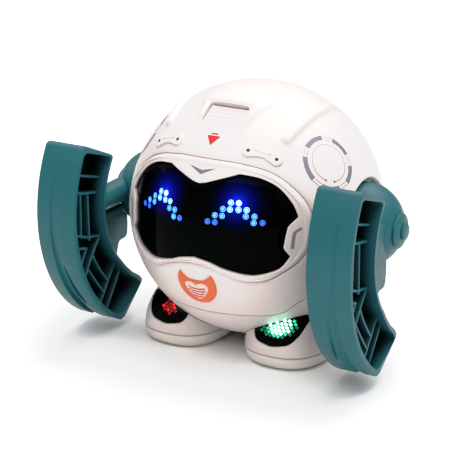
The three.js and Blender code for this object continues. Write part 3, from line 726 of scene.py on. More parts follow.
# ---------------------------------------------------------------- the ball's surface
RIM_HALF = spline(
    [
        (0, 39), (17, 38.2), (32, 34.4), (43, 26.2), (49.5, 16.8), (51.4, 6), (50, -2),
        (45.8, -8.5), (39.7, -13.5), (34.5, -16.7), (28.4, -17.9), (22, -17), (16.8, -14.8),
        (8, -11.7), (0, -10.6),
    ],
    90,
)
RIM = mirrored(RIM_HALF)

BROW_CURVE = spline([(18.6, 33.8), (28, 32.2), (36.2, 28), (42.5, 21), (45.6, 14.6)], 30)
CHEEK_CURVE = spline(
    [(43.6, -4.2), (40.6, -9), (36.6, -12), (27.4, -14.2), (15.5, -11.8), (8, -9), (0, -7.4)], 50
)
VISOR_HALF = np.concatenate(
    ([(0, 28.2), (3, 28.7)], BROW_CURVE, [(42.2, 10.4), (41.1, 0)], CHEEK_CURVE)
)
VISOR = mirrored(VISOR_HALF)

RIDGE_KNOTS = np.array(
    [(32.3, -31, 47), (34.5, -16, 52.8), (35, 0, 54.4), (34.6, 13, 53.4), (40, 23, 45.5)], float
)
RIDGE_HEIGHT = 2.0
RIDGE_HALF_WIDTH = 2.9

VENT_TILT = math.radians(30)
VENT_UP = np.array((0, math.cos(VENT_TILT), math.sin(VENT_TILT)))
VENT_OUT = np.array((0, -math.sin(VENT_TILT), math.cos(VENT_TILT)))
VENT_HALF_X = 11.0
VENT_HALF_V = 6.2
PAD_HEIGHT = 1.25
HOOD_HEIGHT = 1.0


def ridge_height(points):
    """The moulded rib on each side of the crown, round in front and fading out behind."""
    height = np.zeros(len(points))
    for side in (1, -1):
        path = spline(RIDGE_KNOTS * (side, 1, 1), 33)
        path *= BALL_R / np.linalg.norm(path, axis=1)[:, None]
        gap = distance_to(points, path) / RIDGE_HALF_WIDTH
        rib = RIDGE_HEIGHT * (1 - smoothstep(gap, 0.3, 1.0))
        fade = 1 - smoothstep(points[:, 1], 12, 25)
        height = np.maximum(height, rib * fade)
    return height


def crown_height(points):
    """The raised pad round the vent, with a hooded lip above and beside the opening."""
    u = np.abs(points[:, 0])
    v = points @ VENT_UP
    half = 14.2 + 0.3 * np.maximum(v, 0)
    sides = 1 - smoothstep(u, half - 1.6, half + 2.2)
    front = smoothstep(v, -12, 4)
    back = 1 - smoothstep(v, 9, 29)
    above = points @ VENT_OUT > 0
    pad = PAD_HEIGHT * sides * front * back
    beside = np.maximum(u - VENT_HALF_X, v - VENT_HALF_V)
    lip = np.exp(-(((beside - 1.7) / 1.3) ** 2)) * smoothstep(v, -8, -1)
    return np.where(above, pad + HOOD_HEIGHT * lip, 0)


def helmet_height(points):
    height = ridge_height(points) + crown_height(points)
    in_front = points[:, 1] < -20
    edge = np.full(len(points), 9.0)
    edge[in_front] = distance_to(points[in_front][:, [0, 2]], RIM, closed=True)
    return height - 0.45 * (1 - smoothstep(edge, 0, 1.6))


def ball(name, radius, around, along, height=None):
    """A ball with its poles on the axle; height(points) lifts its surface."""
    tilt = np.linspace(0, math.pi, along + 1)[1:-1]
    turn = np.linspace(0, 2 * math.pi, around, endpoint=False)
    tilt, turn = np.meshgrid(tilt, turn, indexing="ij")
    directions = (np.cos(tilt), np.sin(tilt) * np.cos(turn), np.sin(tilt) * np.sin(turn))
    points = np.column_stack([part.ravel() for part in directions])
    points = np.concatenate((points, [(1, 0, 0), (-1, 0, 0)]))
    lift = 0 if height is None else height(points * radius)[:, None]
    faces = ring_faces(along - 1, around)
    last = (along - 2) * around
    right, left = len(points) - 2, len(points) - 1
    for i in range(around):
        j = (i + 1) % around
        faces.append((j, i, right))
        faces.append((last + i, last + j, left))
    return make(name, points * (radius + lift), faces)


def recess(side, floor, radius, flare=0.0):
    """The round pocket that a shoulder dome turns in."""
    profile = [(0, floor), (radius, floor), (radius, 58.9)]
    if flare:
        profile += [(radius + flare * 0.3, 59.4), (radius + flare, 59.9), (radius + 3, 62)]
    profile += [(radius + (3 if flare else 0), 70), (0, 70)]
    return turned("recess", profile, side=side)


def below_seam(lift):
    """Everything below the split line between the helmet and the base."""
    far = BALL_R + 5
    half = [
        (0, SEAM_LOW), (SEAM_TURN - 6, SEAM_LOW), (SEAM_TURN, SEAM_LOW + 1.4),
        (SEAM_RISE - 3, SEAM_HIGH - 1.6), (SEAM_RISE + 2, SEAM_HIGH), (far, SEAM_HIGH),
        (far, -far), (0, -far),
    ]
    lifted = [(x, z + lift if z > -far else z) for x, z in half]
    return prism("y", round_corners(mirrored(lifted), 2.5), -far, far)


def hollow(name, around, along, height=None):
    """The ball's shell with both shoulder pockets."""
    shell = ball(name, BALL_R, around, along, height)
    core = ball("core", BALL_R - WALL, 96, 48)
    pockets = [recess(side, RECESS_FLOOR - WALL, RECESS_R + WALL) for side in (1, -1)]
    combine(core, pockets)
    outer = [recess(side, RECESS_FLOOR, RECESS_R, 0.7) for side in (1, -1)]
    return combine(shell, [*outer, core])


AXLE_HOLE_R = 8.3
LUG_X = 30.0
LUG_Y = 38.0
SPEAKER_HOLES = [(0, 4.5), (4.6, 4.5), (0, 9.1), (-4.6, 4.5), (0, -0.1)]
FRONT = (-BALL_R - 5, -30.0)
BACK = (30.0, BALL_R + 5)


def tilted(obj, angle):
    """Turns a mesh about the axle line."""
    middle = Vector(CENTRE)
    turn = Matrix.Translation(middle) @ Matrix.Rotation(angle, 4, "X")
    obj.data.transform(turn @ Matrix.Translation(-middle))
    return obj


def vent_block(half_x, v0, v1, r0, r1):
    """A block square to the crown where the vent is."""
    return tilted(block((-half_x, half_x), (v0, v1), (r0, r1)), VENT_TILT)


def helmet():
    shell = hollow("helmet", 640, 320, helmet_height)
    x, v = VENT_HALF_X, VENT_HALF_V
    opening = round_corners([(-x, -v), (x, -v), (x, v), (-x, v)], 2.2)
    combine(shell, [
        prism("y", RIM, *FRONT),
        prism("y", rounded_rectangle(DOOR_X, DOOR_Z, DOOR_CORNER), *BACK),
        bar("x", AXLE_HOLE_R, -BALL_R, BALL_R),
        tilted(prism("z", opening, 50, BALL_R + 6), VENT_TILT),
        below_seam(0),
    ])
    return add_piece(shell, "body", "white_shell", WHITE, "helmet_shell")


SWITCH_TILT = math.radians(-146.3)


def switch_block(x0, x1, half_v, r0, r1):
    """A block square to the base where the power switch is."""
    return tilted(block((x0, x1), (-half_v, half_v), (r0, r1)), SWITCH_TILT)


def base():
    pan = hollow("base", 480, 240)
    top = prism("y", [(-80, -80), (80, -80), (80, 80), (-80, 80)], -80, 80)
    combine(top, [below_seam(-GAP)])
    holes = [switch_block(-2.4, 4.4, 2.1, 50, BALL_R + 2)]
    holes += [bar("z", 1.1, -70, -60, centre, 24) for centre in SPEAKER_HOLES]
    for side in (1, -1):
        holes.append(bar("z", 3, -60, -42.4, (side * LUG_X, LUG_Y)))
        holes.append(bar("z", 1.8, -70, -50, (side * FOOT_X, FOOT_Y + 8), 32))
    combine(pan, [top, *holes])
    return add_piece(pan, "body", "white_shell", WHITE, "base_pan")


# ---------------------------------------------------------------- face
FACE_CENTRE = np.array((0.0, 10.0))


def outline_along(outline, centre, directions):
    """Where rays from the centre meet a closed outline round it."""
    angles = np.arctan2(outline[:, 1] - centre[1], outline[:, 0] - centre[0])
    order = np.argsort(angles)
    reach = np.linalg.norm(outline - centre, axis=1)[order]
    wanted = np.arctan2(directions[:, 1], directions[:, 0])
    lengths = np.interp(wanted, angles[order], reach, period=2 * math.pi)
    return centre + directions / np.linalg.norm(directions, axis=1)[:, None] * lengths[:, None]


def bezel():
    """The raised ring round the window: a bead at its rim, a flat face and a rounded inner edge."""
    inner = resampled(round_corners(VISOR, 1.0), 0.6)
    outer = outline_along(resampled(inset(RIM, GAP), 0.5), FACE_CENTRE, inner - FACE_CENTRE)
    span = np.linalg.norm(inner - outer, axis=1)[:, None]
    inwards = (inner - outer) / span
    low = BALL_R - WALL
    profile = [
        (0, low), (0, 64.7), (0.12, 65.15), (0.4, 65.5), (0.8, 65.68), (1.25, 65.7),
        (1.7, 65.6), (2.2, 65.42), (2.8, BEZEL_FLAT),
    ]
    loops = [(outer + inwards * np.minimum(d, span * 0.45), r) for d, r in profile]
    edge = loops[-1][0]
    rest = inner - inwards * np.minimum(1.0, span * 0.3)
    for k in range(1, 9):
        loops.append((edge + (rest - edge) * k / 9, BEZEL_FLAT))
    fillet = [(1.0, BEZEL_FLAT), (0.55, 65.28), (0.22, 65.05), (0.04, 64.65), (0, 64.2), (0, low)]
    loops += [(inner - inwards * np.minimum(d, span * 0.3), r) for d, r in fillet]
    rings = [on_front(flat, radius) for flat, radius in loops]
    faces = ring_faces(len(rings), len(inner), wrap=True)
    ring = make("face_ring", np.concatenate(rings), faces)
    return add_piece(ring, "body", "white_shell", WHITE, "face_bezel")


def window():
    """The smoked window, with a shallow step round its border."""
    outline = resampled(inset(round_corners(VISOR, 1.0), 0.15), 0.6)
    profile = [
        (0, 61.8), (0, 63.45), (0.15, 63.62), (0.4, 63.7), (1.5, 63.72), (1.75, 63.8),
        (2.0, 64.02), (2.3, VISOR_R),
    ]
    pane = plate("window", outline, FACE_CENTRE, on_front, profile, WINDOW, 40)
    return add_piece(pane, "body", "smoked_window", None, "visor")


def dot(spot, outwards, radius, materials, sides=18, dome=0.28):
    """A small lit lens: a bright core, a darker ring and a bright rim."""
    spot = np.asarray(spot, float)
    out = np.asarray(outwards, float) / np.linalg.norm(outwards)
    u_axis = np.cross((0, 0, 1), out)
    u_axis /= np.linalg.norm(u_axis)
    v_axis = np.cross(out, u_axis)
    angles = np.linspace(0, 2 * math.pi, sides, endpoint=False)
    around = np.cos(angles)[:, None] * u_axis + np.sin(angles)[:, None] * v_axis
    steps = [(1.0, -0.1), (1.0, 0.02), (0.84, 0.5 * dome), (0.7, 0.8 * dome), (0.5, dome)]
    rings = [spot + around * radius * share + out * rise for share, rise in steps]
    core, ring, rim = materials
    faces = ring_faces(len(rings), sides)
    bands = [rim, rim, ring, ring]
    chosen = [bands[k] for k in range(len(rings) - 1) for _ in range(sides)]
    top = (len(rings) - 1) * sides
    faces.append(tuple(range(top, top + sides)))
    faces.append(tuple(range(sides - 1, -1, -1)))
    chosen += [core, rim]
    obj = make("dot", np.concatenate(rings), faces)
    slots = list(dict.fromkeys(materials))
    for material in slots:
        obj.data.materials.append(material)
    obj.data.polygons.foreach_set("material_index", [slots.index(m) for m in chosen])
    return obj


DOT_R = 1.42


def eye(side_name):
    """Two strings of blue dots that climb to a peak and fall again, brightest at the peak."""
    side = SIDES[side_name]
    rising = [(7.0, 10.7, 11.6), (10.4, 13.9, 14.9), (13.9, 17.2, 18.1), (17.2, 20.8, 21.2)]
    falling = [(21.1, 24.7, 18.2), (24.7, 28.4, 15.3), (28.4, 32.1, 12.4)]
    points = [(x, z) for low, high, z in rising + falling for x in (low, high)]
    peak = np.array(LAMP_POINTS[side_name])
    dots = []
    for x, z in points:
        spot = np.array((x, z)) if side > 0 else np.array((-x - 1.4, z - 0.9))
        far = np.linalg.norm(spot - peak)
        if far < 2.2:
            look = (BLUE_PEAK, BLUE_CORE, BLUE_CORE)
        elif far < 6.5:
            look = (BLUE_CORE, BLUE_MID, BLUE_CORE)
        elif far < 12.5:
            look = (BLUE_BRIGHT, BLUE_MID, BLUE_BRIGHT)
        else:
            look = (BLUE_MID, BLUE_DIM, BLUE_MID)
        centre = on_front([spot], VISOR_R)[0]
        dots.append(dot(centre, centre, DOT_R, look))
    return add_piece(join_objects(f"eye_dots_{side_name}", dots), "body", "blue_led")


def face_marks():
    chevron = [(-7.3, 35.6), (0, 34.2), (7.3, 35.6), (0, 32.3)]
    obj = flat_mark("chevron_mark", chevron, (0, 33.2), on_front, BEZEL_FLAT, GREY_PRINT)
    add_piece(obj, "body", "dark_plastic")
    for side_name, side in SIDES.items():
        path = spline([(47.6, 9.4), (45.5, 7.7), (45.2, 6.6), (44.7, -0.2)], 16) * (side, 1)
        name = f"bracket_mark_{side_name}"
        obj = ribbon(name, path, 1.2, on_front, BEZEL_FLAT - 0.15, BEZEL_FLAT + 0.08, GREY_PRINT)
        add_piece(obj, "body", "dark_plastic")


HEART_HALF = spline(
    [(0, -22.7), (1.2, -21.5), (3.7, -21), (5.8, -21.8), (6.3, -23.6), (5.2, -26.2),
     (3, -28.8), (0, -30.9)],
    26,
)


def mouth():
    half = [
        (0, -20), (3.4, -19.8), (6.3, -18.4), (8.6, -15.9), (9.9, -18.6), (10.3, -22), (9.7, -26),
        (7.6, -29.6), (4.4, -32.2), (0, -33.2),
    ]
    half = np.concatenate((spline(half[:4], 16)[:-1], spline(half[3:], 30)))
    outline = resampled(mirrored(half), 0.6)
    profile = [(0, 65.05), (0, 65.5), (0.12, 65.66), (0.35, 65.75)]
    badge = plate("mouth_plate", outline, (0, -25), on_front, profile, ORANGE, 8)
    add_piece(badge, "body", "mouth_orange", None, "mouth_badge")
    heart = flat_mark(
        "heart_mark", mirrored(HEART_HALF), (0, -25.5), on_front, 65.75, PINK_PRINT, 0.07
    )
    add_piece(heart, "body", "mouth_orange")
    stripes = []
    for k, reach in enumerate((4.6, 4.7, 3.7, 2.3)):
        x = np.linspace(-reach, reach, 12)
        level = -23.9 - 1.55 * k
        path = np.column_stack((x, level - 0.8 * np.cos(x / reach * math.pi / 2)))
        stripes.append(ribbon("stripe", path, 0.62, on_front, 65.72, 65.88, STRIPE_PRINT))
    add_piece(join_objects("heart_stripes", stripes), "body", "mouth_orange")


def crown_marks():
    """The small red arrow under the vent: a bar over a triangle that points down."""
    ball_front = on_side((0, -45, 47.1), (1, 0, 0))
    triangle = round_corners([(-3.6, 1.5), (3.6, 1.5), (0.0, -3.9)], 0.5)
    dash = [(-2, 2.2), (2, 2.2), (1.7, 3.0), (-1.7, 3.0)]
    marks = [
        flat_mark("mark", outline, centre, ball_front, BALL_R, RED_PRINT)
        for outline, centre in ((triangle, (0, 0)), (dash, (0, 2.6)))
    ]
    add_piece(join_objects("crown_arrow_mark", marks), "body", "mouth_orange")


def brow(side_name):
    """A dog-bone shaped plate with a pin at each end and a fine engraved line."""
    side = SIDES[side_name]
    out = np.array((side * 25.5, -42.6, 41.5))
    project = on_side(out, (13, side * 4.2, side * -3.7))
    half_length = 7.1
    ends = []
    for end in (1, -1):
        angles = np.linspace(-2.2, 2.2, 15)
        arc = np.column_stack((half_length + 3.1 * np.cos(angles), 3.1 * np.sin(angles)))
        ends.append(arc * end)
    top = spline([ends[0][-1], (0, 1.35), ends[1][0]], 9)[1:-1]
    bottom = spline([ends[1][-1], (0, -1.35), ends[0][0]], 9)[1:-1]
    outline = resampled(np.concatenate((ends[0], top, ends[1], bottom)), 0.5)
    profile = [(0, 64.7), (0, 65.75), (0.15, 66.0), (0.45, 66.15), (0.8, 66.2)]
    body = plate(f"brow_{side_name}", outline, (0, 0), project, profile, WHITE, 6)
    add_piece(body, "body", "white_shell", None, f"brow_plate_{side_name}")
    pins = []
    for end in (1, -1):
        spot = project([(end * half_length, 0)], 66.2)[0]
        pins.append(dot(spot, spot, 0.9, (BLACK_PIN, BLACK_PIN, BLACK_PIN), 20, 0.12))
    add_piece(join_objects(f"brow_pins_{side_name}", pins), "body", "dark_plastic")
    line = spline([(-4.3, 0.55), (-3.6, 1.15), (0, 0.75), (3.6, 1.15), (4.3, 0.55)], 24)
    name = f"brow_line_{side_name}"
    add_piece(ribbon(name, line, 0.3, project, 66.1, 66.27, GREY_PRINT), "body", "dark_plastic")


def vent():
    """Four louvres in a frame, set back in the hooded opening."""
    frame_ring = vent_block(VENT_HALF_X - GAP, -5.9, 5.9, 61.4, 63.4)
    combine(frame_ring, [vent_block(9.8, -5.1, 5.1, 60, 66)])
    parts = [frame_ring]
    for v in (-4.1, -1.4, 1.3, 4.0):
        section = circle(1, 20) * (1.75, 0.62)
        lean = math.radians(24)
        turned_section = section @ np.array(
            ((math.cos(lean), math.sin(lean)), (-math.sin(lean), math.cos(lean)))
        )
        parts.append(tilted(prism("x", turned_section + (v, 63.0), -10.4, 10.4), VENT_TILT))
    grille = combine(parts[0], parts[1:], "UNION")
    grille.name = "vent_louvres"
    return add_piece(grille, "body", "white_shell", WHITE, "vent_grille")


DECAL_CENTRE = (0.4, 1.1)
DECAL_BARS = [(-126.8, -76.6), (-53.2, -0.9), (23, 70), (96.2, 137.3), (162.6, 206.9)]


def side_decal(side_name):
    """A ring of thick bars and thin lines printed on the side of the crown, with no lettering."""
    side = SIDES[side_name]
    project = on_side((side * 49.6, -20.5, 37), (side * 0.35, -1, 0))
    low, high = BALL_R - 0.15, BALL_R + 0.06
    parts = []

    def spots(radius, start, end, steps):
        angles = np.radians(np.linspace(start, end, steps))
        flat = np.column_stack((np.cos(angles), np.sin(angles))) * radius + DECAL_CENTRE
        return flat * (1, side)

    def arc(radius, width, start, end, steps=20):
        path = spots(radius, start, end, steps)
        parts.append(ribbon("arc", path, width, project, low, high, GREY_PRINT))

    for k, (start, end) in enumerate(DECAL_BARS):
        arc(13.0, 2.4, start, end)
        following = DECAL_BARS[(k + 1) % len(DECAL_BARS)][0] % 360
        gap = (following - end) % 360
        arc(13.7, 0.3, end + 0.1 * gap, end + 0.85 * gap)
        arc(12.1, 0.3, end + 0.15 * gap, end + 0.9 * gap)
        arc(14.25, 0.16, start - 3, start + 8, 8)
        arc(14.25, 0.16, end - 8, end + 3, 8)
    arc(9.5, 0.32, 61, 388, 90)
    for angle in (29, 59):
        spot = spots(9.5, angle, angle, 1)[0]
        outline = circle(0.62, 16, spot)
        parts.append(flat_mark("dot", outline, spot, project, BALL_R, GREY_PRINT, 0.07))
    add_piece(join_objects(f"side_decal_{side_name}", parts), "body", "dark_plastic")


SOLE_LEVELS = [(0, 18.6, 27.5), (0.7, 20, 29.6), (2.6, 21.7, 32), (5, 22.4, 33), (7.4, 22.6, 33.3)]
SHOE_LEVELS = [
    (7.7, 22.6, 33.2), (12, 22.2, 33), (17, 20.8, 31.6), (22, 18.8, 28.6), (29, 14.5, 22)
]
LENS_OUTLINE = [
    (19.2, -40), (19, -51.4), (21.4, -54.6), (30, -56.4), (39.4, -54.6), (43.4, -50), (45.5, -38)
]
SHOE_WALL = 2.0
FOOT_POWER = 2.6


def foot_rings(levels, shrink=0.0, count=26, sides=120):
    """Level rings of a rounded box, with a small chamfer at the bottom and top edges."""
    smooth = spline(levels, count)
    lean = 0.3
    first, last = smooth[0].copy(), smooth[-1].copy()
    first[1:] -= lean
    last[1:] -= lean
    smooth[0, 0] += lean
    smooth[-1, 0] -= lean
    angles = np.linspace(0, 2 * math.pi, sides, endpoint=False)

    def bend(value):
        return np.sign(value) * np.abs(value) ** (2 / FOOT_POWER)

    rings = []
    for height, half_x, half_y in (first, *smooth, last):
        x = FOOT_X + (half_x - shrink) * bend(np.cos(angles))
        y = FOOT_Y + (half_y - shrink) * bend(np.sin(angles))
        rings.append(np.column_stack((x, y, np.full(sides, height - AXLE_HEIGHT))))
    return rings


def mirrored_copy(obj, name):
    """The same piece on the robot's right."""
    mesh = obj.data.copy()
    mesh.transform(Matrix.Scale(-1, 4, (1, 0, 0)))
    mesh.flip_normals()
    return link(name, mesh)


def add_pair(obj, name, body, slot, material, *nodes):
    """A piece built on the left, and its mirror image on the right."""
    obj.name = f"{name}_left"
    right = mirrored_copy(obj, f"{name}_right")
    for side_name, piece in (("left", obj), ("right", right)):
        add_piece(piece, body, slot, material, *(f"{node}_{side_name}" for node in nodes))
    return obj, right


def seat():
    return ball("seat", BALL_R + GAP, 160, 80)


def foot_dots(lens, side, spots, looks):
    """Lit facets on a foot's window at (x, z) spots; looks gives the material for each one."""
    tree = BVHTree.FromObject(lens, bpy.context.evaluated_depsgraph_get())
    dots = []
    for (x, z), look in zip(spots, looks):
        start = Vector(place((side * x, -90, z))[0])
        point, normal, _, _ = tree.ray_cast(start, Vector((0, 1, 0)))
        if point is None:
            continue
        spot = (np.array(point) - CENTRE) / MM
        dots.append(dot(spot, np.array(normal), 1.02, (look, look, look), 4, 0.3))
    return dots


def feet():
    sole = combine(closed_rings("sole", foot_rings(SOLE_LEVELS)), [seat()])
    add_pair(sole, "sole", "body", "sole_plastic", SOLE, "foot_sole")

    outline = round_corners(LENS_OUTLINE, 2.2)
    chamber = closed_rings("chamber", foot_rings(SHOE_LEVELS, SHOE_WALL))
    combine(chamber, [block((0, 60), (-60, -16), (-62, -20))], "INTERSECT")
    shoe = closed_rings("shoe", foot_rings(SHOE_LEVELS, 0, 40))
    cutters = [seat(), chamber, prism("y", outline, -60, -12)]
    combine(shoe, [*cutters, bar("z", 1.3, -62, -50, (FOOT_X, FOOT_Y + 8), 24)])
    add_pair(shoe, "shoe", "body", "white_shell", WHITE, "foot_shell")

    lens = closed_rings("lens", foot_rings(SHOE_LEVELS, 0.35, 40))
    combine(lens, [prism("y", inset(outline, 0.25), -60, -12)], "INTERSECT")
    combine(lens, [block((0, 60), (-60, -22), (-62, -20))], "INTERSECT")
    inner = closed_rings("inner", foot_rings(SHOE_LEVELS, SHOE_WALL))
    combine(lens, [seat(), inner])
    lenses = add_pair(lens, "foot_window", "body", "smoked_window", LENS, "foot_lens")

    pitch = 2.15
    grid = [
        (21.5 + pitch * (column + 0.5 * (row % 2)), -41.5 - 0.62 * pitch * row)
        for row in range(9)
        for column in range(10)
    ]
    bright = np.array((32.5, -46.4))
    green = [p for p in grid if np.linalg.norm((np.array(p) - (31.6, -46.4)) / (9.8, 5.4)) < 1]
    reach = [np.linalg.norm((np.array(p) - bright) / (1.6, 1)) for p in green]
    looks = [GREEN_LAMP if r < 3.7 else GREEN_MID if r < 4.8 else GREEN_DIM for r in reach]
    dots = foot_dots(lenses[0], 1, green, looks)
    add_piece(join_objects("foot_dots_left", dots), "body", "green_led")
    red = [p for p in grid if np.linalg.norm((np.array(p) - (29.4, -47.5)) / (4.6, 3.6)) < 1]
    looks = [RED_DIM if k % 3 else RED_LAMP for k in range(len(red))]
    dots = foot_dots(lenses[1], -1, red, looks)
    add_piece(join_objects("foot_dots_right", dots), "body", "red_led")


# ---------------------------------------------------------------- arm wheels and shoulders
def polar(radius, degrees):
    """A (y, z) point at a radius and an angle above straight ahead."""
    angle = math.radians(degrees)
    return (-radius * math.cos(angle), radius * math.sin(angle))


def arc_points(radius, start, end, steps):
    return [polar(radius, angle) for angle in np.linspace(start, end, steps)]


def arc_slab(name, low, high, band=0.0, lip=0.0, end=0.0, corner=1.2):
    """The arc between two X positions, drawn in by `band` on the tread, `lip` inside and `end`."""
    top = ARC_TOP - end
    bottom = ARC_BOTTOM + end
    outer = ARC_OUTER - band
    inner = ARC_INNER + lip
    outline = round_corners([
        polar(outer - 1.6, top + 0.4),
        *arc_points(outer, top - 1.2, bottom + 14.6, 90),
        polar(outer - 1.8, bottom + 12.4),
        polar(inner + 8.7, bottom + 0.8),
        polar(inner + 6.6, bottom + 0.3),
        polar(inner + 4.4, bottom + 4.1),
        polar(inner + 2.9, bottom + 12.6),
        polar(inner + 1.2, bottom + 22),
        *arc_points(inner, bottom + 34, top - 3, 60),
        polar(inner + 0.3, top + 4.6),
        polar(inner + 2.2, top + 5.2),
    ], corner, 5, 12)
    radius = np.hypot(*outline.T)
    angle = np.degrees(np.arctan2(outline[:, 1], -outline[:, 0]))
    lean = ARC_SLANT * (1 - smoothstep(angle, -61, -42))
    rings = []
    for x in (low, high):
        turn = np.radians(angle + lean * (x - ARC_MIDDLE))
        across = np.full(len(outline), x)
        rings.append(np.column_stack((across, -radius * np.cos(turn), radius * np.sin(turn))))
    return closed_rings(name, rings)


RIBS = [
    [(44, 21.4), (58, 20.3), (70, 20.2)],
    [(44, 11.4), (58, 11.6), (70, 12.9)],
    [(59.9, 12), (60, -11)],
    [(53.5, 12), (53.7, -16)],
    [(44.2, -19.6), (56, -12.6), (70, -4.6)],
    [(45.4, -19.8), (56.5, -26), (70, -32)],
    [(70, -12), (57.4, -18.5)],
    [(57.4, -18.3), (70, -26)],
    [(54.8, -24.5), (54.4, -36), (55.4, -50)],
    [(61.5, -28), (60.8, -38), (61.9, -50)],
    [(44.4, -49), (70, -50)],
    [(45, -58.2), (70, -56.4)],
]


def rib(knots):
    """A rib across the web; its free edges are drawn in a little, as moulding draft."""
    path = np.array([polar(r, a) for r, a in knots])
    if len(path) > 2:
        path = spline(path, 12)
    half = ARC_WIDTH / 2 - RIB_DEPTH
    rings = []
    for x, thickness in (
        (-half, RIB_THICKNESS * 0.55), (-half + 0.35, RIB_THICKNESS * 0.9), (0, RIB_THICKNESS * 1.15),
        (half - 0.35, RIB_THICKNESS * 0.9), (half, RIB_THICKNESS * 0.55),
    ):
        outline = stroke(path, thickness)
        rings.append(np.column_stack((np.full(len(outline), ARC_MIDDLE + x), outline)))
    return closed_rings("rib", rings)


CHANNEL = [
    (20, 75.6, 4.6, -0.2), (17, 75.6, 5.0, 0.5), (0, 75.6, 5.2, 0.8), (-16, 75.6, 5.2, 1.1),
    (-30, 75.7, 5.3, 1.6), (-45, 75.9, 5.5, 2.1), (-60, 76.2, 5.6, 2.2), (-76, 76.4, 5.6, 2.2),
]
WEDGE = [
    (-17, 73.4, 0.7, -0.15), (-23, 72.9, 1.8, 0.9), (-31, 72.2, 2.6, 1.5), (-39, 71.6, 2.2, 1.7),
    (-42.5, 71.4, 1.4, 1.2), (-44.5, 71.4, 0.6, -0.15),
]


def tread_cutter(stations):
    """A channel along the tread from (angle, middle x, width, depth) stations, steep on one side."""
    rings = []
    for angle, x, width, depth in spline(stations, 80):
        section = [
            (-0.6, 2), (-0.5, 0), (-0.2, -0.55 * depth), (0.1, -depth), (0.42, -depth), (0.5, 0),
            (0.6, 2),
        ]
        rings.append(np.array([
            (x + width * u, *polar(ARC_OUTER + rise, angle)) for u, rise in section
        ]))
    return closed_rings("channel", rings)


def dome_arc(grow, steps, apex_radius):
    """Points of the shoulder dome's section as (radius, x), from the apex to the base."""
    radius = DOME_R + grow
    angles = np.linspace(math.asin(apex_radius / radius), math.pi / 2, steps)
    return [
        (radius * math.sin(a), DOME_CENTRE + (DOME_REACH + grow) * math.cos(a)) for a in angles
    ]


def spoke():
    """A paddle-shaped plate to the arc, with a round boss and a stiffener on its inner side."""
    paddle = [
        (-9, 7), (-8.2, -12), (-8, -20), (-8.6, -25), (-10.4, -26.8), (-16.4, -26.9), (-17.6, -29),
        (-19.6, -35), (-46, -33), (-46, 7),
    ]
    body = prism("x", round_corners(paddle, 2.4), ARC_MIDDLE - 1.6, ARC_MIDDLE + 1.6)
    body = rounded(body, 0.9, 3)
    boss = bar("y", 6, -46.5, -10, (ARC_MIDDLE - 4.4, 2.6), 64)
    stiffener = block((ARC_MIDDLE - 5.5, ARC_MIDDLE + 1.2), (-45.5, -13.2), (-8.4, -5.6))
    combine(body, [boss, rounded(stiffener, 0.4)], "UNION")
    sector = [*arc_points(ARC_INNER + 1, -70, 30, 60), polar(0, 0)]
    return combine(body, [prism("x", sector, 0, 90)], "INTERSECT")


def arm_wheels():
    low = ARC_MIDDLE - ARC_WIDTH / 2
    high = ARC_MIDDLE + ARC_WIDTH / 2
    wheel = rounded(arc_slab("arm_wheel", low, high), 0.9, 3)
    wheel.data.materials.append(TEAL_PLASTIC)
    margins = (ARC_BAND, ARC_LIP, ARC_END_WALL, 2.4)
    pockets = [
        arc_slab("pocket", low - 1, ARC_MIDDLE - ARC_WEB / 2, *margins),
        arc_slab("pocket", ARC_MIDDLE + ARC_WEB / 2, high + 1, *margins),
    ]
    ribs = [rib(knots) for knots in RIBS]
    for inside in (*pockets, *ribs):
        # the pockets and ribs take the teal with painted shade towards the web
        inside.data.materials.append(POCKET_PAINTED_SHADE)
    combine(wheel, [*pockets, tread_cutter(CHANNEL), tread_cutter(WEDGE)])
    combine(wheel, [*ribs, spoke()], "UNION")
    room = 2 * GAP
    section = [(0, DOME_CENTRE + DOME_REACH + room), *dome_arc(room, 48, 0.4)]
    combine(wheel, [turned("dome_seat", [*section, (DOME_R + room, 50), (0, 50)])])
    for polygon in wheel.data.polygons:  # the rims and the ribs' edges keep the plain teal, without the painted shade
        if abs(polygon.normal.x) > 0.4 and abs(polygon.center.x / MM - ARC_MIDDLE) > 5:
            polygon.material_index = 0
    add_pair(wheel, "arm_wheel", "arms", "teal_plastic", None, "arm_wheel")


def shoulders():
    """The dome, collar and cap on each end of the axle."""
    wall = 2.0
    band = DOME_CENTRE + 6.2
    outside = [point for point in dome_arc(0, 60, BORE_R) if point[1] > band + 0.3]
    profile = [
        *outside, (21.2, band + 0.05), (21.05, band - 0.1), (20.85, band - 0.15),
        (20.9, band - 0.5), (21.3, DOME_CENTRE + 3), (21.5, DOME_CENTRE),
        *dome_arc(-wall, 30, 5.5)[::-1], (5.5, DOME_CENTRE + 0.8), (BORE_R, DOME_CENTRE + 0.8),
    ]
    dome = turned("dome", profile)
    add_pair(dome, "shoulder_dome", "arms", "teal_plastic", TEAL_PLASTIC, "hub_dome")

    collar = turned("collar", [
        (BORE_R, 80.6), (BORE_R, 81.25), (5.2, 81.25), (6.0, 81.05), (7.7, 80.4), (8.4, 80.0),
        (8.75, 79.7), (8.8, 79.45), (8.8, 78.95), (8.7, 78.87), (5.5, 80.05),
    ])
    add_pair(collar, "shoulder_collar", "arms", "teal_plastic", TEAL_PLASTIC, "hub_flange")

    cap = turned("cap", [
        (0, 81.6), (4.2, 81.6), (4.3, 81.7), (4.3, 81.95), (4.2, 82.3), (3.8, 82.62), (3.1, 82.82),
        (2.0, 82.93), (1.0, 82.97), (0, 82.98),
    ])
    add_pair(cap, "shoulder_cap", "arms", "teal_plastic", TEAL_PLASTIC, "hub_cap")


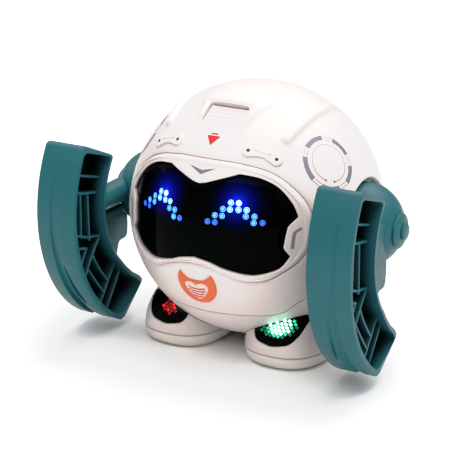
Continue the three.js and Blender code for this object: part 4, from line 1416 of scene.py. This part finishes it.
# ---------------------------------------------------------------- battery bay and fasteners
CELL_R = 7.15
CELL_LENGTH = 49.2
CELL_PITCH = 15.2
CELL_Y = 35.6
SCREW_Z = 24.5
CELL_PLACES = [(k * CELL_PITCH, CELL_Y) for k in (-1, 0, 1)]
DOOR_GROOVES = (-18, -14, -10, -6, -2)


def door_relief(points):
    """Grip grooves for pulling the door off."""
    x, z = points.T
    height = np.zeros(len(points))
    for level in DOOR_GROOVES:
        along = 1 - smoothstep(np.abs(x), 8.5, 10)
        height -= 0.6 * along * (1 - smoothstep(np.abs(z - level), 0.3, 1.25))
    return height


def battery_door():
    outline = resampled(rounded_rectangle(DOOR_X - GAP, DOOR_Z - GAP, DOOR_CORNER - GAP), 0.7)
    profile = [(0, 62.6), (0, 64.45), (0.15, 64.8), (0.45, 64.97), (0.8, 64.99), (1.2, BALL_R)]
    door = plate("battery_hatch", outline, (0, 0), on_back, profile, WHITE, 90, relief=door_relief)
    boss = bar("y", 4.2, 55.5, 58.6, (0, SCREW_Z))
    combine(door, [boss], "UNION")
    combine(door, [bar("y", 3, 57.2, BALL_R + 1, (0, SCREW_Z)), bar("y", 1.6, 40, 60, (0, SCREW_Z))])
    return add_piece(door, "battery_cover", "white_shell", WHITE, "battery_door")


def screw(name, axis, centre, shank, head, facing, body, node):
    """A pan-head screw with a cross recess; shank and head are (radius, low, high)."""
    radius, low, high = head
    top, under, tip = (high, low, shank[1]) if facing > 0 else (low, high, shank[2])
    height = high - low
    profile = [
        (0, top), (radius * 0.55, top - facing * 0.04), (radius * 0.85, top - facing * 0.2),
        (radius, top - facing * 0.5 * height), (radius, under), (shank[0], under),
        (shank[0], tip), (0, tip),
    ]
    obj = turned(name, profile, centre=centre, axis=axis, steps=48)
    width = radius * 0.16
    reach = radius * 0.62
    depth = sorted((top - facing * 0.6 * height, top + facing))
    u, v = centre
    slots = []
    for half_u, half_v in ((reach, width), (width, reach)):
        corners = ((-1, -1), (1, -1), (1, 1), (-1, 1))
        outline = [(u + a * half_u, v + b * half_v) for a, b in corners]
        slots.append(prism(axis, outline, *depth))
    combine(obj, slots)
    return add_piece(obj, body, "steel", STEEL, node)


def fasteners():
    screw("hatch_screw", "y", (0, SCREW_Z), (1.1, 47, 58), (2.6, 57.5, 59), 1, "battery_cover",
          "door_screw")
    for side_name, side in SIDES.items():
        foot = (side * FOOT_X, FOOT_Y + 8)
        screw(f"sole_screw_{side_name}", "z", foot, (1, -61, -52), (2.6, -52.4, -50.6), 1, "body",
              f"foot_screw_{side_name}")
        lug = (side * LUG_X, LUG_Y)
        screw(f"shell_screw_{side_name}", "z", lug, (1, -43, -35), (2.6, -44, -42.7), -1, "body",
              f"base_screw_{side_name}")


def cells():
    """Three cells with a shrink-wrap shoulder and a button end, the middle one turned over."""
    half = CELL_LENGTH / 2
    for number, centre in enumerate(CELL_PLACES, 1):
        way = -1 if number == 2 else 1
        profile = [
            (0, -half), (6.2, -half), (6.3, -half + 0.25), (6.9, -half + 0.25), (CELL_R, -half + 0.7),
            (CELL_R, half - 0.7), (6.9, half - 0.25), (5.9, half - 0.2), (5.6, half - 0.55),
            (3.0, half - 0.55), (2.6, half - 0.3), (2.6, half + 0.7), (2.3, half + 1), (0, half + 1),
        ]
        can = turned(f"battery_{number}", profile, centre=centre, axis="z", side=way, steps=64)
        add_piece(can, "body", "cell_wrap", SLEEVE, f"cell_{number}")


def spring_strip():
    """The contact strip with a conical wire spring for each cell."""
    strip = rounded(block((-22.4, 22.4), (CELL_Y - 4.5, CELL_Y + 4.5), (-28.9, -28.3)), 0.15)
    springs = [strip]
    wire = 0.28
    for x, y in CELL_PLACES:
        turns = np.linspace(0, 3.5, 84)
        radius = 3.0 - 0.4 * turns
        angle = turns * 2 * math.pi
        level = -28.0 + 0.3 * turns
        path = np.column_stack((x + radius * np.cos(angle), y + radius * np.sin(angle), level))
        rings = []
        for point, a in zip(path, angle):
            out = np.array((math.cos(a), math.sin(a), 0))
            ring = [
                point + wire * (math.cos(t) * out + math.sin(t) * np.array((0, 0, 1)))
                for t in np.linspace(0, 2 * math.pi, 8, endpoint=False)
            ]
            rings.append(np.array(ring))
        springs.append(closed_rings("spring", rings))
    return add_piece(join_objects("cell_springs", springs), "body", "steel", STEEL, "spring_contact")


def power_knob():
    """The slide switch's knob with three grip grooves."""
    knob = rounded(switch_block(2.0, 4.1, 1.7, 59.9, BALL_R - 0.6), 0.25)
    grooves = [switch_block(x - 0.12, x + 0.12, 2.5, 64.1, 66) for x in (2.5, 3.05, 3.6)]
    combine(knob, grooves)
    knob.name = "power_slider"
    return add_piece(knob, "power_switch", "dark_plastic", DARK, "switch_knob")


# ---------------------------------------------------------------- pieces kept from the frame
FRAME_FINISHES = {
    BOARD: ("eye_board", "foot_board", "main_board"),
    STEEL: ("axle", "motor_pinion", "second_gear_pin", "first_gear_pin", "drive_motor",
            "flat_contact", "spring_contact", "base_screw", "foot_screw", "door_screw"),
    NYLON: ("axle_bush", "final_gear", "second_gear", "first_gear"),
    DARK: ("eye_mask", "gearbox_plate", "battery_box", "speaker", "switch_body", "switch_knob"),
    BLUE_DIM: ("eye_led",),
    GREEN_DIM: ("foot_led_left",),
    RED_DIM: ("foot_led_right",),
}


def finish_frame_nodes():
    """Each node that still shows gets the finish of what it is made of."""
    exact = {name: material for material, names in FRAME_FINISHES.items() for name in names}
    for name, node in frame["nodes"].items():
        plain = name.removesuffix("_left").removesuffix("_right")
        material = exact.get(name) or exact.get(plain) or WHITE
        node.data.materials.clear()
        node.data.materials.append(material)


# ---------------------------------------------------------------- build
finish_frame_nodes()
helmet()
base()
bezel()
window()
face_marks()
mouth()
crown_marks()
vent()
for side_name in SIDES:
    eye(side_name)
    brow(side_name)
    side_decal(side_name)
feet()
arm_wheels()
shoulders()
battery_door()
fasteners()
cells()
spring_strip()
power_knob()

# ---------------------------------------------------------------- floor, light and camera
scene = bpy.context.scene
scene.view_settings.view_transform = "Standard"
scene.view_settings.use_curve_mapping = True
tone_curve = scene.view_settings.curve_mapping
tone_curve.white_level = (2, 2, 2)
tone_curve.extend = "HORIZONTAL"
for exposed, shown in (
    (0.02, 0.026), (0.07, 0.13), (0.15, 0.24), (0.23, 0.38), (0.32, 0.6), (0.37, 0.75), (0.47, 0.86),
    (0.56, 0.9), (0.62, 0.955), (0.67, 1.0),
):
    tone_curve.curves[3].points.new(exposed, shown)
tone_curve.update()


def floor():
    sheet = Finish("studio_floor", 0.55)
    tone = sheet.noise(60, 4)
    sheet.colour(sheet.ramp(tone, (0.3, (0.93, 0.93, 0.925, 1)), (0.7, (0.95, 0.95, 0.945, 1))))
    bpy.ops.mesh.primitive_plane_add(size=16, location=(0, 0, 0))
    plane = bpy.context.object
    plane.name = "studio_floor"
    plane.data.materials.append(sheet.material)
    plane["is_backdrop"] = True


def aimed(obj, position, towards):
    obj.location = position
    obj.rotation_mode = "QUATERNION"
    obj.rotation_quaternion = Vector(towards).to_track_quat("-Z", "Y")
    return obj


def softbox(name, position, size, watts, aim=(0, 0, 0.07)):
    light = bpy.data.lights.new(name, "AREA")
    light.shape = "RECTANGLE"
    light.size, light.size_y = size
    light.energy = watts
    aimed(link(name, light), position, Vector(aim) - Vector(position))


def studio():
    world = bpy.data.worlds.new("studio")
    world.use_nodes = True
    background = world.node_tree.nodes["Background"]
    background.inputs["Color"].default_value = (1, 1, 1, 1)
    background.inputs["Strength"].default_value = 0.2
    scene.world = world
    softbox("key_softbox", (0.35, 0.42, 1.6), (1.8, 1.8), 38)
    softbox("front_softbox", (0.25, -0.95, 1.35), (0.9, 0.9), 10.5)
    softbox("corner_softbox", (-0.55, -0.8, 1.35), (0.9, 0.9), 4.5)
    softbox("left_softbox", (-1.3, 0.1, 0.9), (1.0, 1.0), 5)
    softbox("right_softbox", (0.95, -0.35, 0.55), (0.6, 0.8), 2)
    softbox("backdrop_softbox", (-0.45, 1.0, 1.0), (1.2, 1.2), 8, (-0.45, 1.01, 0))


CAMERA_AZIMUTH, CAMERA_ELEVATION = 29.4, 19.2
CAMERA_DISTANCE = 0.8016  # metres


def camera():
    azimuth, elevation = math.radians(CAMERA_AZIMUTH), math.radians(CAMERA_ELEVATION)
    right = np.array((math.cos(azimuth), math.sin(azimuth), 0))
    back = np.array((
        math.sin(azimuth) * math.cos(elevation),
        -math.cos(azimuth) * math.cos(elevation),
        math.sin(elevation),
    ))
    aim = CENTRE + right * -0.0163 + np.array((0, 0, -0.01045))
    data = bpy.data.cameras.new("camera")
    data.sensor_width = 36
    data.lens = 124.96
    data.clip_start, data.clip_end = 0.05, 20
    scene.camera = aimed(link("camera", data), aim + back * CAMERA_DISTANCE, -back)


floor()
studio()
camera()

boxes = {"cad": CAD_BOX, "visual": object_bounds()}
{name: [list(low), list(high)] for name, (low, high) in boxes.items()}
